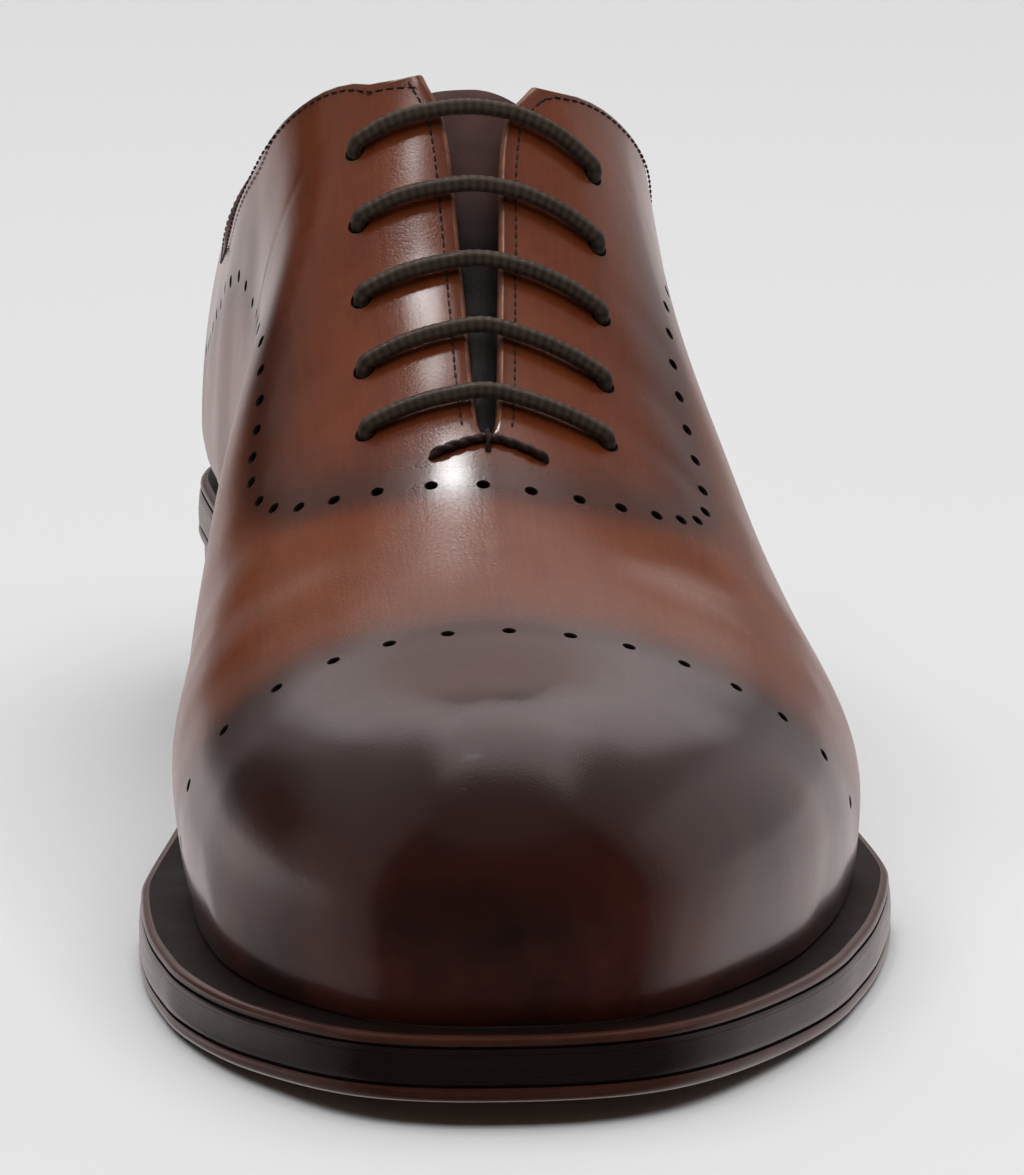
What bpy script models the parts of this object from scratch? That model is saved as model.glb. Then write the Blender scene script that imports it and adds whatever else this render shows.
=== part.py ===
"""Oxford shoe for the left foot, one piece of leather on a round-toed last.

Sizes are in millimetres and are turned into metres when a mesh is made.
The toe points to -Y, the outer side of the foot is +X and the floor is z = 0.
"Along" is the distance from the tip of the outsole towards the heel.
"""
import math

import bmesh
import bpy
from mathutils import Vector

METRES = 0.001
OBJECT_NAME = "oxford_shoe"

# The two sides of the foot, as the sign of X
MEDIAL = -1
LATERAL = 1

# Driving sizes of the sole
LENGTH = 300.0
TOE_SPRING = 3.7
TREAD_FRONT = 85.0
TREAD_BACK = 105.0
HEEL_HEIGHT = 25.0
HEEL_BREAST = 226.0
BREAST_HOLLOW = 4.0
BREAST_CLEAR = 4.0
TOP_PIECE_HEIGHT = 6.0
STACK_INSET = 0.9
STACK_STRAIGHT = 3.0
STACK_TAPER = 1.6
TOP_PIECE_BEVEL = 0.6
TOE_ROUND = 60.0
HEEL_ROUND = 37.0
TOE_ROUND_POWER = 2.3
HEEL_ROUND_POWER = 2.2
SEAT_GAP = 0.3

# Small steps for slopes, in radians round the sole and in millimetres over the last
TURN_STEP = 0.002
SLOPE_STEP = 0.5

# Layers of the sole
OUTSOLE_THICK = 6.4
WELT_THICK = 2.6
INSOLE_THICK = 3.0
INSOLE_GAP = 0.4

# The upper
WALL = 2.0
TOE_POLE = 42.0
HEEL_POLE = 262.0
TOE_BLEND = 30.0
HEEL_BLEND = 20.0
THROAT_FRONT = 116.0
THROAT_BACK = 178.0
CORNER_ROUND = 4.0

# Eyelets and lace
BAR_ALONG = (125.2, 136.8, 148.4, 160.0, 171.6)
EYELET_REACH = 17.6
EYELET_RADIUS = 2.1
LACE_RADIUS = 1.2
LACE_LIFT = 1.6
LACE_DEPTH = 3.6
RETURN_REACH = 22.5
RETURN_TURN = 2.2
BAR_REACHES = (11.5, 6.0)
RIDGE_REACH = 0.01

# The tongue
TONGUE_FRONT = 100.0
TONGUE_BACK = 178.5
TONGUE_THICK = 1.8
TONGUE_FRONT_HALF = 14.0
TONGUE_BACK_HALF = 24.0
TONGUE_SEWN_DEPTH = WALL + 0.8
TONGUE_LACED_DEPTH = LACE_DEPTH + LACE_RADIUS + SEAT_GAP + 0.1
TONGUE_SEWN_END = 105.0
TONGUE_LACED_START = 120.0

# Plan of the outsole: the middle of its width and half its width, before the ends are rounded
PLAN_COLUMNS = ("along", "centre", "half_width")
PLAN = (
    (0.0, -6.2, 41.4),
    (10.0, -5.7, 39.5),
    (20.0, -5.1, 39.8),
    (32.0, -4.5, 42.0),
    (45.0, -3.4, 45.0),
    (60.0, -2.1, 48.6),
    (80.0, -0.2, 52.3),
    (105.0, 2.2, 54.2),
    (116.0, 3.0, 53.0),
    (130.0, 3.5, 49.4),
    (150.0, 3.6, 43.2),
    (175.0, 3.8, 35.6),
    (200.0, 3.0, 32.6),
    (225.0, 1.6, 32.4),
    (250.0, 0.4, 33.8),
    (275.0, 0.0, 34.6),
    (300.0, 0.0, 34.6),
)

# How far the foot of the upper stands in from the edge of the outsole
LEDGE_COLUMNS = ("along", "medial", "lateral")
LEDGE = (
    (0.0, 7.0, 7.0),
    (40.0, 7.2, 6.4),
    (90.0, 7.5, 5.6),
    (125.0, 6.5, 5.0),
    (160.0, 4.5, 4.2),
    (200.0, 3.6, 3.6),
    (240.0, 3.4, 3.4),
    (300.0, 3.6, 3.6),
)

# Line of the ridge in plan
RIDGE_COLUMNS = ("along", "across")
RIDGE = (
    (40.0, -6.0),
    (80.0, -3.0),
    (122.0, -0.6),
    (178.0, 1.4),
    (225.0, 1.4),
    (262.0, 0.0),
)

# Sections of the last: height of the ridge, then for each side the height of the widest line,
# how far it bulges past the foot of the upper, and how full the curve up to the ridge is
SECTION_COLUMNS = (
    "along", "ridge", "wide_medial", "wide_lateral",
    "bulge_medial", "bulge_lateral", "full_medial", "full_lateral",
)
SECTIONS = (
    (0.0, 50.0, 26.0, 26.0, 1.2, 1.2, 1.95, 1.95),
    (40.0, 50.8, 25.0, 25.0, 1.6, 1.6, 2.00, 2.00),
    (75.0, 53.6, 25.0, 23.0, 2.2, 1.4, 2.05, 1.78),
    (100.0, 62.0, 26.0, 21.0, 2.3, 1.0, 1.95, 1.47),
    (122.0, 72.5, 29.0, 22.5, 3.0, 0.4, 1.80, 1.36),
    (137.0, 82.0, 34.0, 26.0, 4.6, 0.5, 1.82, 1.40),
    (150.0, 90.8, 38.6, 30.0, 6.0, 1.2, 2.12, 1.60),
    (164.0, 102.0, 42.8, 35.0, 6.5, 1.4, 2.42, 1.78),
    (178.0, 113.8, 45.8, 40.0, 6.5, 1.4, 2.62, 2.02),
    (187.0, 122.4, 46.8, 42.0, 6.6, 1.6, 2.74, 2.14),
    (200.0, 134.0, 47.6, 45.0, 7.1, 2.0, 2.95, 2.40),
    (213.0, 133.0, 47.0, 45.0, 7.8, 2.6, 2.95, 2.50),
    (226.0, 129.0, 46.0, 45.0, 6.8, 2.6, 2.60, 2.36),
    (262.0, 111.0, 43.0, 44.0, 3.2, 2.9, 1.80, 1.92),
    (300.0, 114.0, 46.0, 46.0, 3.4, 3.4, 1.95, 1.95),
)

# Half the throat's gap on each side
GAP_COLUMNS = ("along", "medial", "lateral")
GAP = (
    (116.0, 0.0, 0.0),
    (122.0, 1.4, 1.4),
    (150.0, 2.8, 2.8),
    (171.0, 4.3, 4.5),
    (178.0, 7.2, 9.0),
)

# Height of the collar's edge on each side
COLLAR_COLUMNS = ("along", "medial", "lateral")
COLLAR = (
    (178.0, 112.6, 111.6),
    (182.0, 112.2, 109.6),
    (187.0, 109.2, 105.9),
    (200.0, 98.4, 95.2),
    (213.0, 88.5, 85.5),
    (226.0, 80.2, 78.2),
    (242.0, 74.6, 73.8),
    (262.0, 73.4, 73.4),
    (282.0, 80.8, 80.8),
    (300.0, 87.5, 87.5),
)

# Edges of outsole and welt, from the bottom up, with a lip, a groove and a band.
# Columns: height above the underside, and how far the edge steps in
OUTSOLE_EDGE = (
    (0.0, 0.7),
    (0.5, 0.1),
    (1.7, 0.0),
    (1.9, 0.6),
    (2.2, 0.6),
    (2.4, 0.1),
    (4.2, 0.0),
    (6.0, 0.1),
    (OUTSOLE_THICK, 0.2),
)
WELT_EDGE = (
    (0.0, 0.2),
    (0.7, 0.3),
    (0.9, 0.9),
    (1.2, 0.9),
    (1.4, 0.4),
    (2.0, 0.4),
    (2.4, 0.7),
    (WELT_THICK, 1.2),
)

# Colour, roughness and metallic value of each finish
FINISHES = {
    "sole_leather": ((0.045, 0.018, 0.012), 0.35, 0.0),
    "welt_leather": ((0.060, 0.024, 0.016), 0.35, 0.0),
    "heel_leather": ((0.040, 0.016, 0.011), 0.35, 0.0),
    "heel_rubber": ((0.015, 0.013, 0.012), 0.60, 0.0),
    "insole_leather": ((0.330, 0.190, 0.100), 0.55, 0.0),
    "upper_leather": ((0.190, 0.062, 0.024), 0.28, 0.0),
    "tongue_leather": ((0.050, 0.022, 0.020), 0.40, 0.0),
    "lace_cotton": ((0.035, 0.024, 0.018), 0.60, 0.0),
}


def clear_scene():
    for thing in list(bpy.data.objects):
        bpy.data.objects.remove(thing, do_unlink=True)


def new_collection(name):
    collection = bpy.data.collections.new(name)
    bpy.context.scene.collection.children.link(collection)
    return collection


def finish(name):
    colour, roughness, metallic = FINISHES[name]
    material = bpy.data.materials.new(name)
    material.use_nodes = True
    shader = material.node_tree.nodes["Principled BSDF"]
    shader.inputs["Base Color"].default_value = (*colour, 1.0)
    shader.inputs["Roughness"].default_value = roughness
    shader.inputs["Metallic"].default_value = metallic
    return material


def read_table(table, columns, name, along):
    """Value of one column at a distance along, on a smooth curve through the rows."""
    place = columns.index(name)
    if along <= table[0][0]:
        return table[0][place]
    if along >= table[-1][0]:
        return table[-1][place]
    row = max(i for i in range(len(table) - 1) if table[i][0] <= along)

    def slope(i):
        low = max(i - 1, 0)
        high = min(i + 1, len(table) - 1)
        return (table[high][place] - table[low][place]) / (table[high][0] - table[low][0])

    span = table[row + 1][0] - table[row][0]
    t = (along - table[row][0]) / span
    start = table[row][place]
    end = table[row + 1][place]
    rise = (2 * t ** 3 - 3 * t ** 2 + 1) * start + (3 * t ** 2 - 2 * t ** 3) * end
    lean = (t ** 3 - 2 * t ** 2 + t) * slope(row) + (t ** 3 - t ** 2) * slope(row + 1)
    return rise + span * lean


def side_name(side):
    return "medial" if side == MEDIAL else "lateral"


def smooth_step(low, high, value):
    t = min(max((value - low) / (high - low), 0.0), 1.0)
    return t * t * (3 - 2 * t)


def larger(a, b, blend):
    return (a + b + math.hypot(a - b, blend)) / 2


def smaller(a, b, blend):
    return (a + b - math.hypot(a - b, blend)) / 2


def tread_height(along):
    """Height of the outsole's underside: toe spring, flat tread, arch and heel seat."""
    if along < TREAD_FRONT:
        return TOE_SPRING * ((TREAD_FRONT - along) / TREAD_FRONT) ** 2
    return HEEL_HEIGHT * smooth_step(TREAD_BACK, HEEL_BREAST, along)


def end_round(distance, radius, power):
    """Share of the width that is left at a distance from a round end."""
    if distance >= radius:
        return 1.0
    return (1 - (1 - distance / radius) ** power) ** (1 / power)


def plan_point(side, turn):
    """Point of the outsole's outline; turn runs from 0 at the toe to pi at the heel."""
    along = LENGTH * (1 - math.cos(turn)) / 2
    half = read_table(PLAN, PLAN_COLUMNS, "half_width", along)
    half *= end_round(along, TOE_ROUND, TOE_ROUND_POWER)
    half *= end_round(LENGTH - along, HEEL_ROUND, HEEL_ROUND_POWER)
    return Vector((read_table(PLAN, PLAN_COLUMNS, "centre", along) + side * half, along))


def outline_point(side, along, inset):
    """Point of the outline at a distance along, moved in from the edge."""
    turn = math.acos(1 - 2 * along / LENGTH)
    point = plan_point(side, turn)
    if along <= 0.0:
        return point + Vector((0.0, inset))
    if along >= LENGTH:
        return point - Vector((0.0, inset))
    before = plan_point(side, max(turn - TURN_STEP, 0.0))
    after = plan_point(side, min(turn + TURN_STEP, math.pi))
    tangent = after - before
    inward = Vector((-tangent.y, tangent.x)).normalized() * side
    return point + inward * inset


def stations():
    """Distances along for every section, closer together at the round ends."""
    toe_steps = 11
    toe = [TREAD_FRONT * (1 - math.cos(math.pi / 2 * i / toe_steps)) for i in range(toe_steps)]
    ball = [TREAD_FRONT, 95.0, TREAD_BACK]
    throat_steps = 7
    throat_span = THROAT_BACK - THROAT_FRONT
    throat = [THROAT_FRONT + throat_span * i / throat_steps for i in range(throat_steps)]
    quarter_steps = 9
    quarter_span = HEEL_POLE - THROAT_BACK
    quarter = [THROAT_BACK, THROAT_BACK + CORNER_ROUND]
    quarter += [THROAT_BACK + quarter_span * i / quarter_steps for i in range(1, quarter_steps)]
    heel_steps = 7
    heel_span = LENGTH - HEEL_POLE
    heel = [HEEL_POLE + heel_span * math.sin(math.pi / 2 * i / heel_steps) for i in range(heel_steps)]
    return toe + ball + throat + quarter + heel + [LENGTH]


STATIONS = stations()
LAST_STATION = len(STATIONS) - 1


def ring_order():
    """Side and station of each point round the shoe: lateral toe to heel, medial back to toe."""
    lateral = [(LATERAL, i) for i in range(LAST_STATION + 1)]
    medial = [(MEDIAL, i) for i in range(LAST_STATION - 1, 0, -1)]
    return lateral + medial


RING = ring_order()


def centre_shift():
    """Moves the middle of the outsole's box to x = 0."""
    edges = [outline_point(side, along, 0.0).x for side in (MEDIAL, LATERAL) for along in STATIONS]
    return -(max(edges) + min(edges)) / 2


SHIFT = Vector((centre_shift(), -LENGTH / 2, 0.0))


def in_metres(point):
    return (Vector(point) + SHIFT) * METRES


def mesh_object(name, points, faces, material, collection):
    mesh = bpy.data.meshes.new(name)
    mesh.from_pydata([in_metres(point) for point in points], [], faces)
    mesh.materials.append(material)
    work = bmesh.new()
    work.from_mesh(mesh)
    bmesh.ops.recalc_face_normals(work, faces=work.faces)
    work.to_mesh(mesh)
    work.free()
    mesh.shade_smooth()
    mesh.set_sharp_from_angle(angle=math.radians(35))
    made = bpy.data.objects.new(name, mesh)
    collection.objects.link(made)
    return made


def ring_faces(lower, upper, count):
    return [(lower + i, lower + (i + 1) % count, upper + (i + 1) % count, upper + i) for i in range(count)]


def cap_faces(first):
    """Strips across the shoe from the lateral to the medial points of one loop."""
    count = len(RING)
    faces = [(first, first + 1, first + count - 1)]
    for i in range(1, LAST_STATION - 1):
        faces.append((first + i, first + i + 1, first + count - i - 1, first + count - i))
    faces.append((first + LAST_STATION - 1, first + LAST_STATION, first + LAST_STATION + 1))
    return faces


def sole_loop(inset, height):
    """Loop of the outline at one inset, at a height above the tread; inset may depend on the place."""
    points = []
    for side, i in RING:
        along = STATIONS[i]
        place = outline_point(side, along, inset(side, along))
        points.append((place.x, place.y, tread_height(place.y) + height))
    return points


def layered_solid(name, rows, material, collection):
    """Closed solid through loops that lie above each other, rows of an inset function and a height."""
    count = len(RING)
    points = []
    faces = []
    for inset, height in rows:
        points += sole_loop(inset, height)
    for level in range(len(rows) - 1):
        faces += ring_faces(level * count, (level + 1) * count, count)
    faces += cap_faces(0)
    faces += cap_faces((len(rows) - 1) * count)
    return mesh_object(name, points, faces, material, collection)


def even_inset(amount):
    return lambda side, along: amount


def ledge_inset(extra):
    return lambda side, along: read_table(LEDGE, LEDGE_COLUMNS, side_name(side), along) + extra


def build_outsole(collection):
    rows = [(even_inset(inset), height) for height, inset in OUTSOLE_EDGE]
    return layered_solid("outsole", rows, finish("sole_leather"), collection)


def build_welt(collection):
    """Ring with its lip outside, reaching in under the wall of the upper."""
    base = OUTSOLE_THICK + SEAT_GAP
    rows = [(even_inset(inset), base + height) for height, inset in WELT_EDGE]
    rows.append((ledge_inset(WALL), base + WELT_THICK))
    rows.append((ledge_inset(WALL), base))
    count = len(RING)
    points = []
    faces = []
    for inset, height in rows:
        points += sole_loop(inset, height)
    for level in range(len(rows)):
        faces += ring_faces(level * count, (level + 1) % len(rows) * count, count)
    return mesh_object("welt", points, faces, finish("welt_leather"), collection)


def build_insole(collection):
    base = OUTSOLE_THICK + SEAT_GAP
    inset = ledge_inset(WALL + INSOLE_GAP)
    rows = [(inset, base), (inset, base + INSOLE_THICK)]
    return layered_solid("insole", rows, finish("insole_leather"), collection)


def heel_loop(inset, height):
    """Outline of the heel behind its breast, which is hollowed a little towards the back."""
    backs = [along for along in STATIONS if along > HEEL_BREAST + BREAST_CLEAR]
    lateral = [outline_point(LATERAL, along, inset) for along in [HEEL_BREAST] + backs]
    medial = [outline_point(MEDIAL, along, inset) for along in [HEEL_BREAST] + backs[:-1]]
    start = medial[0]
    end = lateral[0]
    breast_steps = 6
    breast = []
    for i in range(1, breast_steps):
        t = i / breast_steps
        hollow = BREAST_HOLLOW * math.sin(math.pi * t)
        breast.append(start.lerp(end, t) + Vector((0.0, hollow)))
    return [(p.x, p.y, height) for p in lateral + medial[::-1] + breast]


def heel_solid(name, levels, material, collection):
    loops = [heel_loop(inset, height) for inset, height in levels]
    count = len(loops[0])
    points = [point for loop in loops for point in loop]
    faces = []
    for level in range(len(loops) - 1):
        faces += ring_faces(level * count, (level + 1) * count, count)
    top = (len(loops) - 1) * count
    faces.append(tuple(range(count)))
    faces.append(tuple(range(top, top + count)))
    return mesh_object(name, points, faces, material, collection)


def build_heel(collection):
    joint = TOP_PIECE_HEIGHT
    stack_top = HEEL_HEIGHT - SEAT_GAP
    stack = [
        (STACK_TAPER, joint + SEAT_GAP),
        (STACK_INSET, stack_top - STACK_STRAIGHT),
        (STACK_INSET, stack_top),
    ]
    top_piece = [
        (STACK_TAPER + TOP_PIECE_BEVEL, 0.0),
        (STACK_TAPER, TOP_PIECE_BEVEL),
        (STACK_TAPER, joint),
    ]
    heel_solid("heel_stack", stack, finish("heel_leather"), collection)
    heel_solid("heel_top_piece", top_piece, finish("heel_rubber"), collection)


class Section:
    """Curve of the last on one side, from the foot of the upper to the ridge."""

    def __init__(self, side, along):
        label = side_name(side)
        foot = outline_point(side, along, ledge_inset(0.0)(side, along))
        ridge_along = smaller(larger(along, TOE_POLE, TOE_BLEND), HEEL_POLE, HEEL_BLEND)
        self.pole = Vector((read_table(RIDGE, RIDGE_COLUMNS, "across", ridge_along), ridge_along))
        self.ray = foot - self.pole
        self.radius = self.ray.length
        self.foot_z = tread_height(foot.y) + OUTSOLE_THICK + WELT_THICK + 2 * SEAT_GAP
        self.wide_z = read_table(SECTIONS, SECTION_COLUMNS, "wide_" + label, along)
        self.ridge_z = read_table(SECTIONS, SECTION_COLUMNS, "ridge", ridge_along)
        bulge = read_table(SECTIONS, SECTION_COLUMNS, "bulge_" + label, along)
        self.wide_share = 1 + bulge / self.radius
        self.full = read_table(SECTIONS, SECTION_COLUMNS, "full_" + label, along)

    def wall_point(self, t):
        """From the foot at t = 0 to the widest line at t = 1."""
        share = 1 + (self.wide_share - 1) * math.sin(math.pi / 2 * t)
        return self.place(share, self.foot_z + (self.wide_z - self.foot_z) * t)

    def arch_point(self, angle):
        """From the widest line at angle 0 to the ridge at pi / 2."""
        share = self.wide_share * max(math.cos(angle), 0.0) ** (2 / self.full)
        return self.place(share, self.wide_z + (self.ridge_z - self.wide_z) * math.sin(angle))

    def place(self, share, z):
        flat = self.pole + self.ray * share
        return Vector((flat.x, flat.y, z))

    def angle_at_reach(self, reach):
        """Angle of the arch where it lies this far from the ridge in plan."""
        share = reach / (self.radius * self.wide_share)
        return math.acos(min(share, 1.0) ** (self.full / 2))

    def angle_at_height(self, z):
        return math.asin(min((z - self.wide_z) / (self.ridge_z - self.wide_z), 1.0))


def section(side, i):
    return Section(side, STATIONS[i])


def top_angle(side, i):
    """Where the upper ends: at the ridge, beside the throat, or at the collar."""
    along = STATIONS[i]
    part = section(side, i)
    if along <= THROAT_FRONT:
        return math.pi / 2
    if along <= THROAT_BACK:
        return part.angle_at_reach(read_table(GAP, GAP_COLUMNS, side_name(side), along))
    return part.angle_at_height(read_table(COLLAR, COLLAR_COLUMNS, side_name(side), along))


def upper_column(side, i, wall_rows, arch_rows):
    part = section(side, i)
    end = top_angle(side, i)
    column = [part.wall_point(row / wall_rows) for row in range(wall_rows)]
    column += [part.arch_point(end * row / arch_rows) for row in range(arch_rows + 1)]
    return column


def upper_surface():
    """Outer face of the upper: columns round the last, joined along the ridge of the vamp."""
    wall_rows = 2
    arch_rows = 10
    rows = wall_rows + arch_rows
    points = []
    number = {}
    for side, i in RING:
        for row, point in enumerate(upper_column(side, i, wall_rows, arch_rows)):
            on_ridge = row == rows and STATIONS[i] <= THROAT_FRONT
            key = (LATERAL if on_ridge else side, i, row)
            if key not in number:
                number[key] = len(points)
                points.append(point)
            number[(side, i, row)] = number[key]
    faces = []
    for place, (side, i) in enumerate(RING):
        next_side, next_i = RING[(place + 1) % len(RING)]
        for row in range(rows):
            corners = [
                number[(side, i, row)],
                number[(next_side, next_i, row)],
                number[(next_side, next_i, row + 1)],
                number[(side, i, row + 1)],
            ]
            faces.append(tuple(dict.fromkeys(corners)))
    return points, faces


def on_last(side, along, reach, lift):
    """Point over the last, this far from the ridge in plan and raised along the surface normal."""
    part = Section(side, along)
    angle = part.angle_at_reach(reach)
    point = part.arch_point(angle)
    ahead = Section(side, along + SLOPE_STEP)
    beside = part.arch_point(part.angle_at_reach(reach + SLOPE_STEP))
    forward = ahead.arch_point(ahead.angle_at_reach(reach)) - point
    outward = beside - point
    normal = forward.cross(outward).normalized()
    if normal.z < 0:
        normal = -normal
    return point + normal * lift, normal


def eyelet_cutter(collection):
    """Ten round bars through the facings."""
    work = bmesh.new()
    bar_length = 12.0
    for along in BAR_ALONG:
        for side in (MEDIAL, LATERAL):
            point, normal = on_last(side, along, EYELET_REACH, 0.0)
            turn = normal.to_track_quat("Z", "Y").to_matrix().to_4x4()
            turn.translation = in_metres(point)
            bmesh.ops.create_cone(
                work, cap_ends=True, segments=16, radius1=EYELET_RADIUS * METRES,
                radius2=EYELET_RADIUS * METRES, depth=bar_length * METRES, matrix=turn)
    mesh = bpy.data.meshes.new("eyelet_cutter")
    work.to_mesh(mesh)
    work.free()
    cutter = bpy.data.objects.new("eyelet_cutter", mesh)
    cutter.hide_render = True
    cutter.display_type = "WIRE"
    collection.objects.link(cutter)
    return cutter


def build_upper(collection, cutters):
    points, faces = upper_surface()
    upper = mesh_object("upper", points, faces, finish("upper_leather"), collection)
    wall = upper.modifiers.new("wall", "SOLIDIFY")
    wall.thickness = WALL * METRES
    wall.offset = -1.0
    wall.use_even_offset = True
    wall.use_quality_normals = True
    holes = upper.modifiers.new("eyelets", "BOOLEAN")
    holes.operation = "DIFFERENCE"
    holes.object = eyelet_cutter(cutters)
    return upper


def tongue_depth(along):
    share = smooth_step(TONGUE_SEWN_END, TONGUE_LACED_START, along)
    return TONGUE_SEWN_DEPTH + (TONGUE_LACED_DEPTH - TONGUE_SEWN_DEPTH) * share


def build_tongue(collection):
    """Curved leaf below the throat: sewn close under the vamp, clear of the lace further up."""
    length_steps = 12
    half_steps = 5
    points = []
    faces = []
    width = 2 * half_steps + 1
    for layer in (0.0, TONGUE_THICK):
        for i in range(length_steps + 1):
            share = i / length_steps
            along = TONGUE_FRONT + (TONGUE_BACK - TONGUE_FRONT) * share
            half = TONGUE_FRONT_HALF + (TONGUE_BACK_HALF - TONGUE_FRONT_HALF) * share
            depth = tongue_depth(along) + layer
            for j in range(-half_steps, half_steps + 1):
                side = LATERAL if j > 0 else MEDIAL
                points.append(on_last(side, along, half * abs(j) / half_steps, -depth)[0])
    layer_size = width * (length_steps + 1)
    for i in range(length_steps):
        for j in range(width - 1):
            corner = i * width + j
            faces.append((corner, corner + 1, corner + width + 1, corner + width))
            under = (corner, corner + width, corner + width + 1, corner + 1)
            faces.append(tuple(layer_size + k for k in under))
    border = list(range(width))
    border += [i * width + width - 1 for i in range(1, length_steps + 1)]
    border += [length_steps * width + j for j in range(width - 2, -1, -1)]
    border += [i * width for i in range(length_steps - 1, 0, -1)]
    for place, corner in enumerate(border):
        after = border[(place + 1) % len(border)]
        faces.append((corner, layer_size + corner, layer_size + after, after))
    return mesh_object("tongue", points, faces, finish("tongue_leather"), collection)


def hole_route(side, along, towards):
    """Lace going down through an eyelet and turning away below it, towards the toe or the collar."""
    bend = LACE_LIFT * (1 - math.sqrt(0.5))
    reach = EYELET_REACH
    lower = -LACE_DEPTH + bend
    route = [on_last(side, along, reach - LACE_LIFT, LACE_LIFT)[0]]
    route.append(on_last(side, along, reach - bend, LACE_LIFT - bend)[0])
    route.append(on_last(side, along, reach, 0.0)[0])
    route.append(on_last(side, along, reach, -LACE_DEPTH + LACE_LIFT)[0])
    route.append(on_last(side, along + towards * bend, reach, lower)[0])
    route.append(on_last(side, along + towards * LACE_LIFT, reach, -LACE_DEPTH)[0])
    return route


def bar_middle(from_side, along):
    """Lace across the throat, from one side to the other."""
    route = [on_last(from_side, along, reach, LACE_LIFT)[0] for reach in BAR_REACHES]
    route.append(on_last(from_side, along, RIDGE_REACH, LACE_LIFT)[0])
    route += [on_last(-from_side, along, reach, LACE_LIFT)[0] for reach in reversed(BAR_REACHES)]
    return route


def lace_route():
    """The hidden end up the lateral side, then the five bars from the bottom to the top."""
    toe = -1
    collar = 1
    first = BAR_ALONG[0]
    top = BAR_ALONG[-1]
    route = []
    return_steps = 5
    for i in range(return_steps):
        along = top + (first - top) * i / return_steps
        route.append(on_last(LATERAL, along, RETURN_REACH, -LACE_DEPTH)[0])
    route.append(on_last(LATERAL, first - RETURN_TURN, RETURN_REACH - LACE_LIFT, -LACE_DEPTH)[0])
    side = LATERAL
    for along in BAR_ALONG:
        up = hole_route(side, along, toe)[::-1]
        down = hole_route(-side, along, collar)
        route += up + bar_middle(side, along) + down
        side = -side
    return route


def build_lace(collection):
    route = lace_route()
    curve = bpy.data.curves.new("lace", "CURVE")
    curve.dimensions = "3D"
    curve.bevel_depth = LACE_RADIUS * METRES
    curve.bevel_resolution = 2
    curve.use_fill_caps = True
    spline = curve.splines.new("POLY")
    spline.points.add(len(route) - 1)
    for knot, point in zip(spline.points, route):
        knot.co = (*in_metres(point), 1.0)
    curve.materials.append(finish("lace_cotton"))
    lace = bpy.data.objects.new("lace", curve)
    collection.objects.link(lace)
    return lace


def main():
    clear_scene()
    parts = new_collection(OBJECT_NAME)
    cutters = new_collection("cutters")
    build_outsole(parts)
    build_welt(parts)
    build_insole(parts)
    build_heel(parts)
    build_upper(parts, cutters)
    build_tongue(parts)
    build_lace(parts)


main()
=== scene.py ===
"""Looks of the burnished oxford shoe: leather, lace, stitches, sole and studio.

Sizes are in millimetres and are turned into metres when a mesh is made.
"Along" is the distance from the tip of the outsole towards the heel, and "across" is
the distance from the ridge over the leather, positive on the outer side of the foot.
"""
import functools
import math

import bmesh
import bpy
import numpy as np
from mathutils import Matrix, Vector
from mathutils.kdtree import KDTree


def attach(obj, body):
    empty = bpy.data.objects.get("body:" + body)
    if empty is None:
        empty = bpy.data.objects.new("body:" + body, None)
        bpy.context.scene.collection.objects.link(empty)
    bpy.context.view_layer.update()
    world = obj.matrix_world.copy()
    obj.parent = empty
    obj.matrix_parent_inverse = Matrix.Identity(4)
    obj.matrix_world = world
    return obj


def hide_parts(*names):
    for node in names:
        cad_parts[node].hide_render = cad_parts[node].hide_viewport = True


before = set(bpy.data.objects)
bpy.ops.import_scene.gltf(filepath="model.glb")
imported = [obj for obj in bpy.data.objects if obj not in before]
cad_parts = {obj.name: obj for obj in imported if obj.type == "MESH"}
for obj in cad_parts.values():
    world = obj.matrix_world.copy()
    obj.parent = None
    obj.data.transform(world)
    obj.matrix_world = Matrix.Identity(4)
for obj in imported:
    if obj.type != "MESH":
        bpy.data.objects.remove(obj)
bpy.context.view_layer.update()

METRES = 0.001
BODY = "root"
MEDIAL = -1
LATERAL = 1

# The photograph's view: direction of the camera, and what it aims at
VIEW_AZIMUTH = -4.5
VIEW_ELEVATION = 12.5
VIEW_DISTANCE = 2000.0
VIEW_AIM = (3.2, 0.0, 42.3)
VIEW_HEIGHT = 172.0
VIEW_CLIP = (0.05, 60.0)
SENSOR = 36.0

# Sole
LENGTH = 300.0
TOE_SPRING = 3.7
TREAD_FRONT = 85.0
TREAD_BACK = 105.0
HEEL_HEIGHT = 25.0
HEEL_BREAST = 226.0
BREAST_HOLLOW = 4.0
TOP_PIECE_HEIGHT = 6.0
STACK_INSET = 0.9
STACK_STRAIGHT = 3.0
STACK_TAPER = 1.6
TOP_PIECE_BEVEL = 0.6
TOE_ROUND = 60.0
HEEL_ROUND = 37.0
TOE_ROUND_POWER = 2.3
HEEL_ROUND_POWER = 2.2
SEAT_GAP = 0.3
OUTSOLE_THICK = 6.4
WELT_THICK = 2.6
INSOLE_THICK = 3.0
INSOLE_GAP = 0.4

# Small steps for slopes, in radians round the sole and in millimetres over the last
TURN_STEP = 0.002
SLOPE_STEP = 0.5

# Upper
WALL = 2.0
TOE_POLE = 42.0
HEEL_POLE = 262.0
TOE_BLEND = 30.0
HEEL_BLEND = 20.0
THROAT_FRONT = 116.0
THROAT_BACK = 178.0

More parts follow.
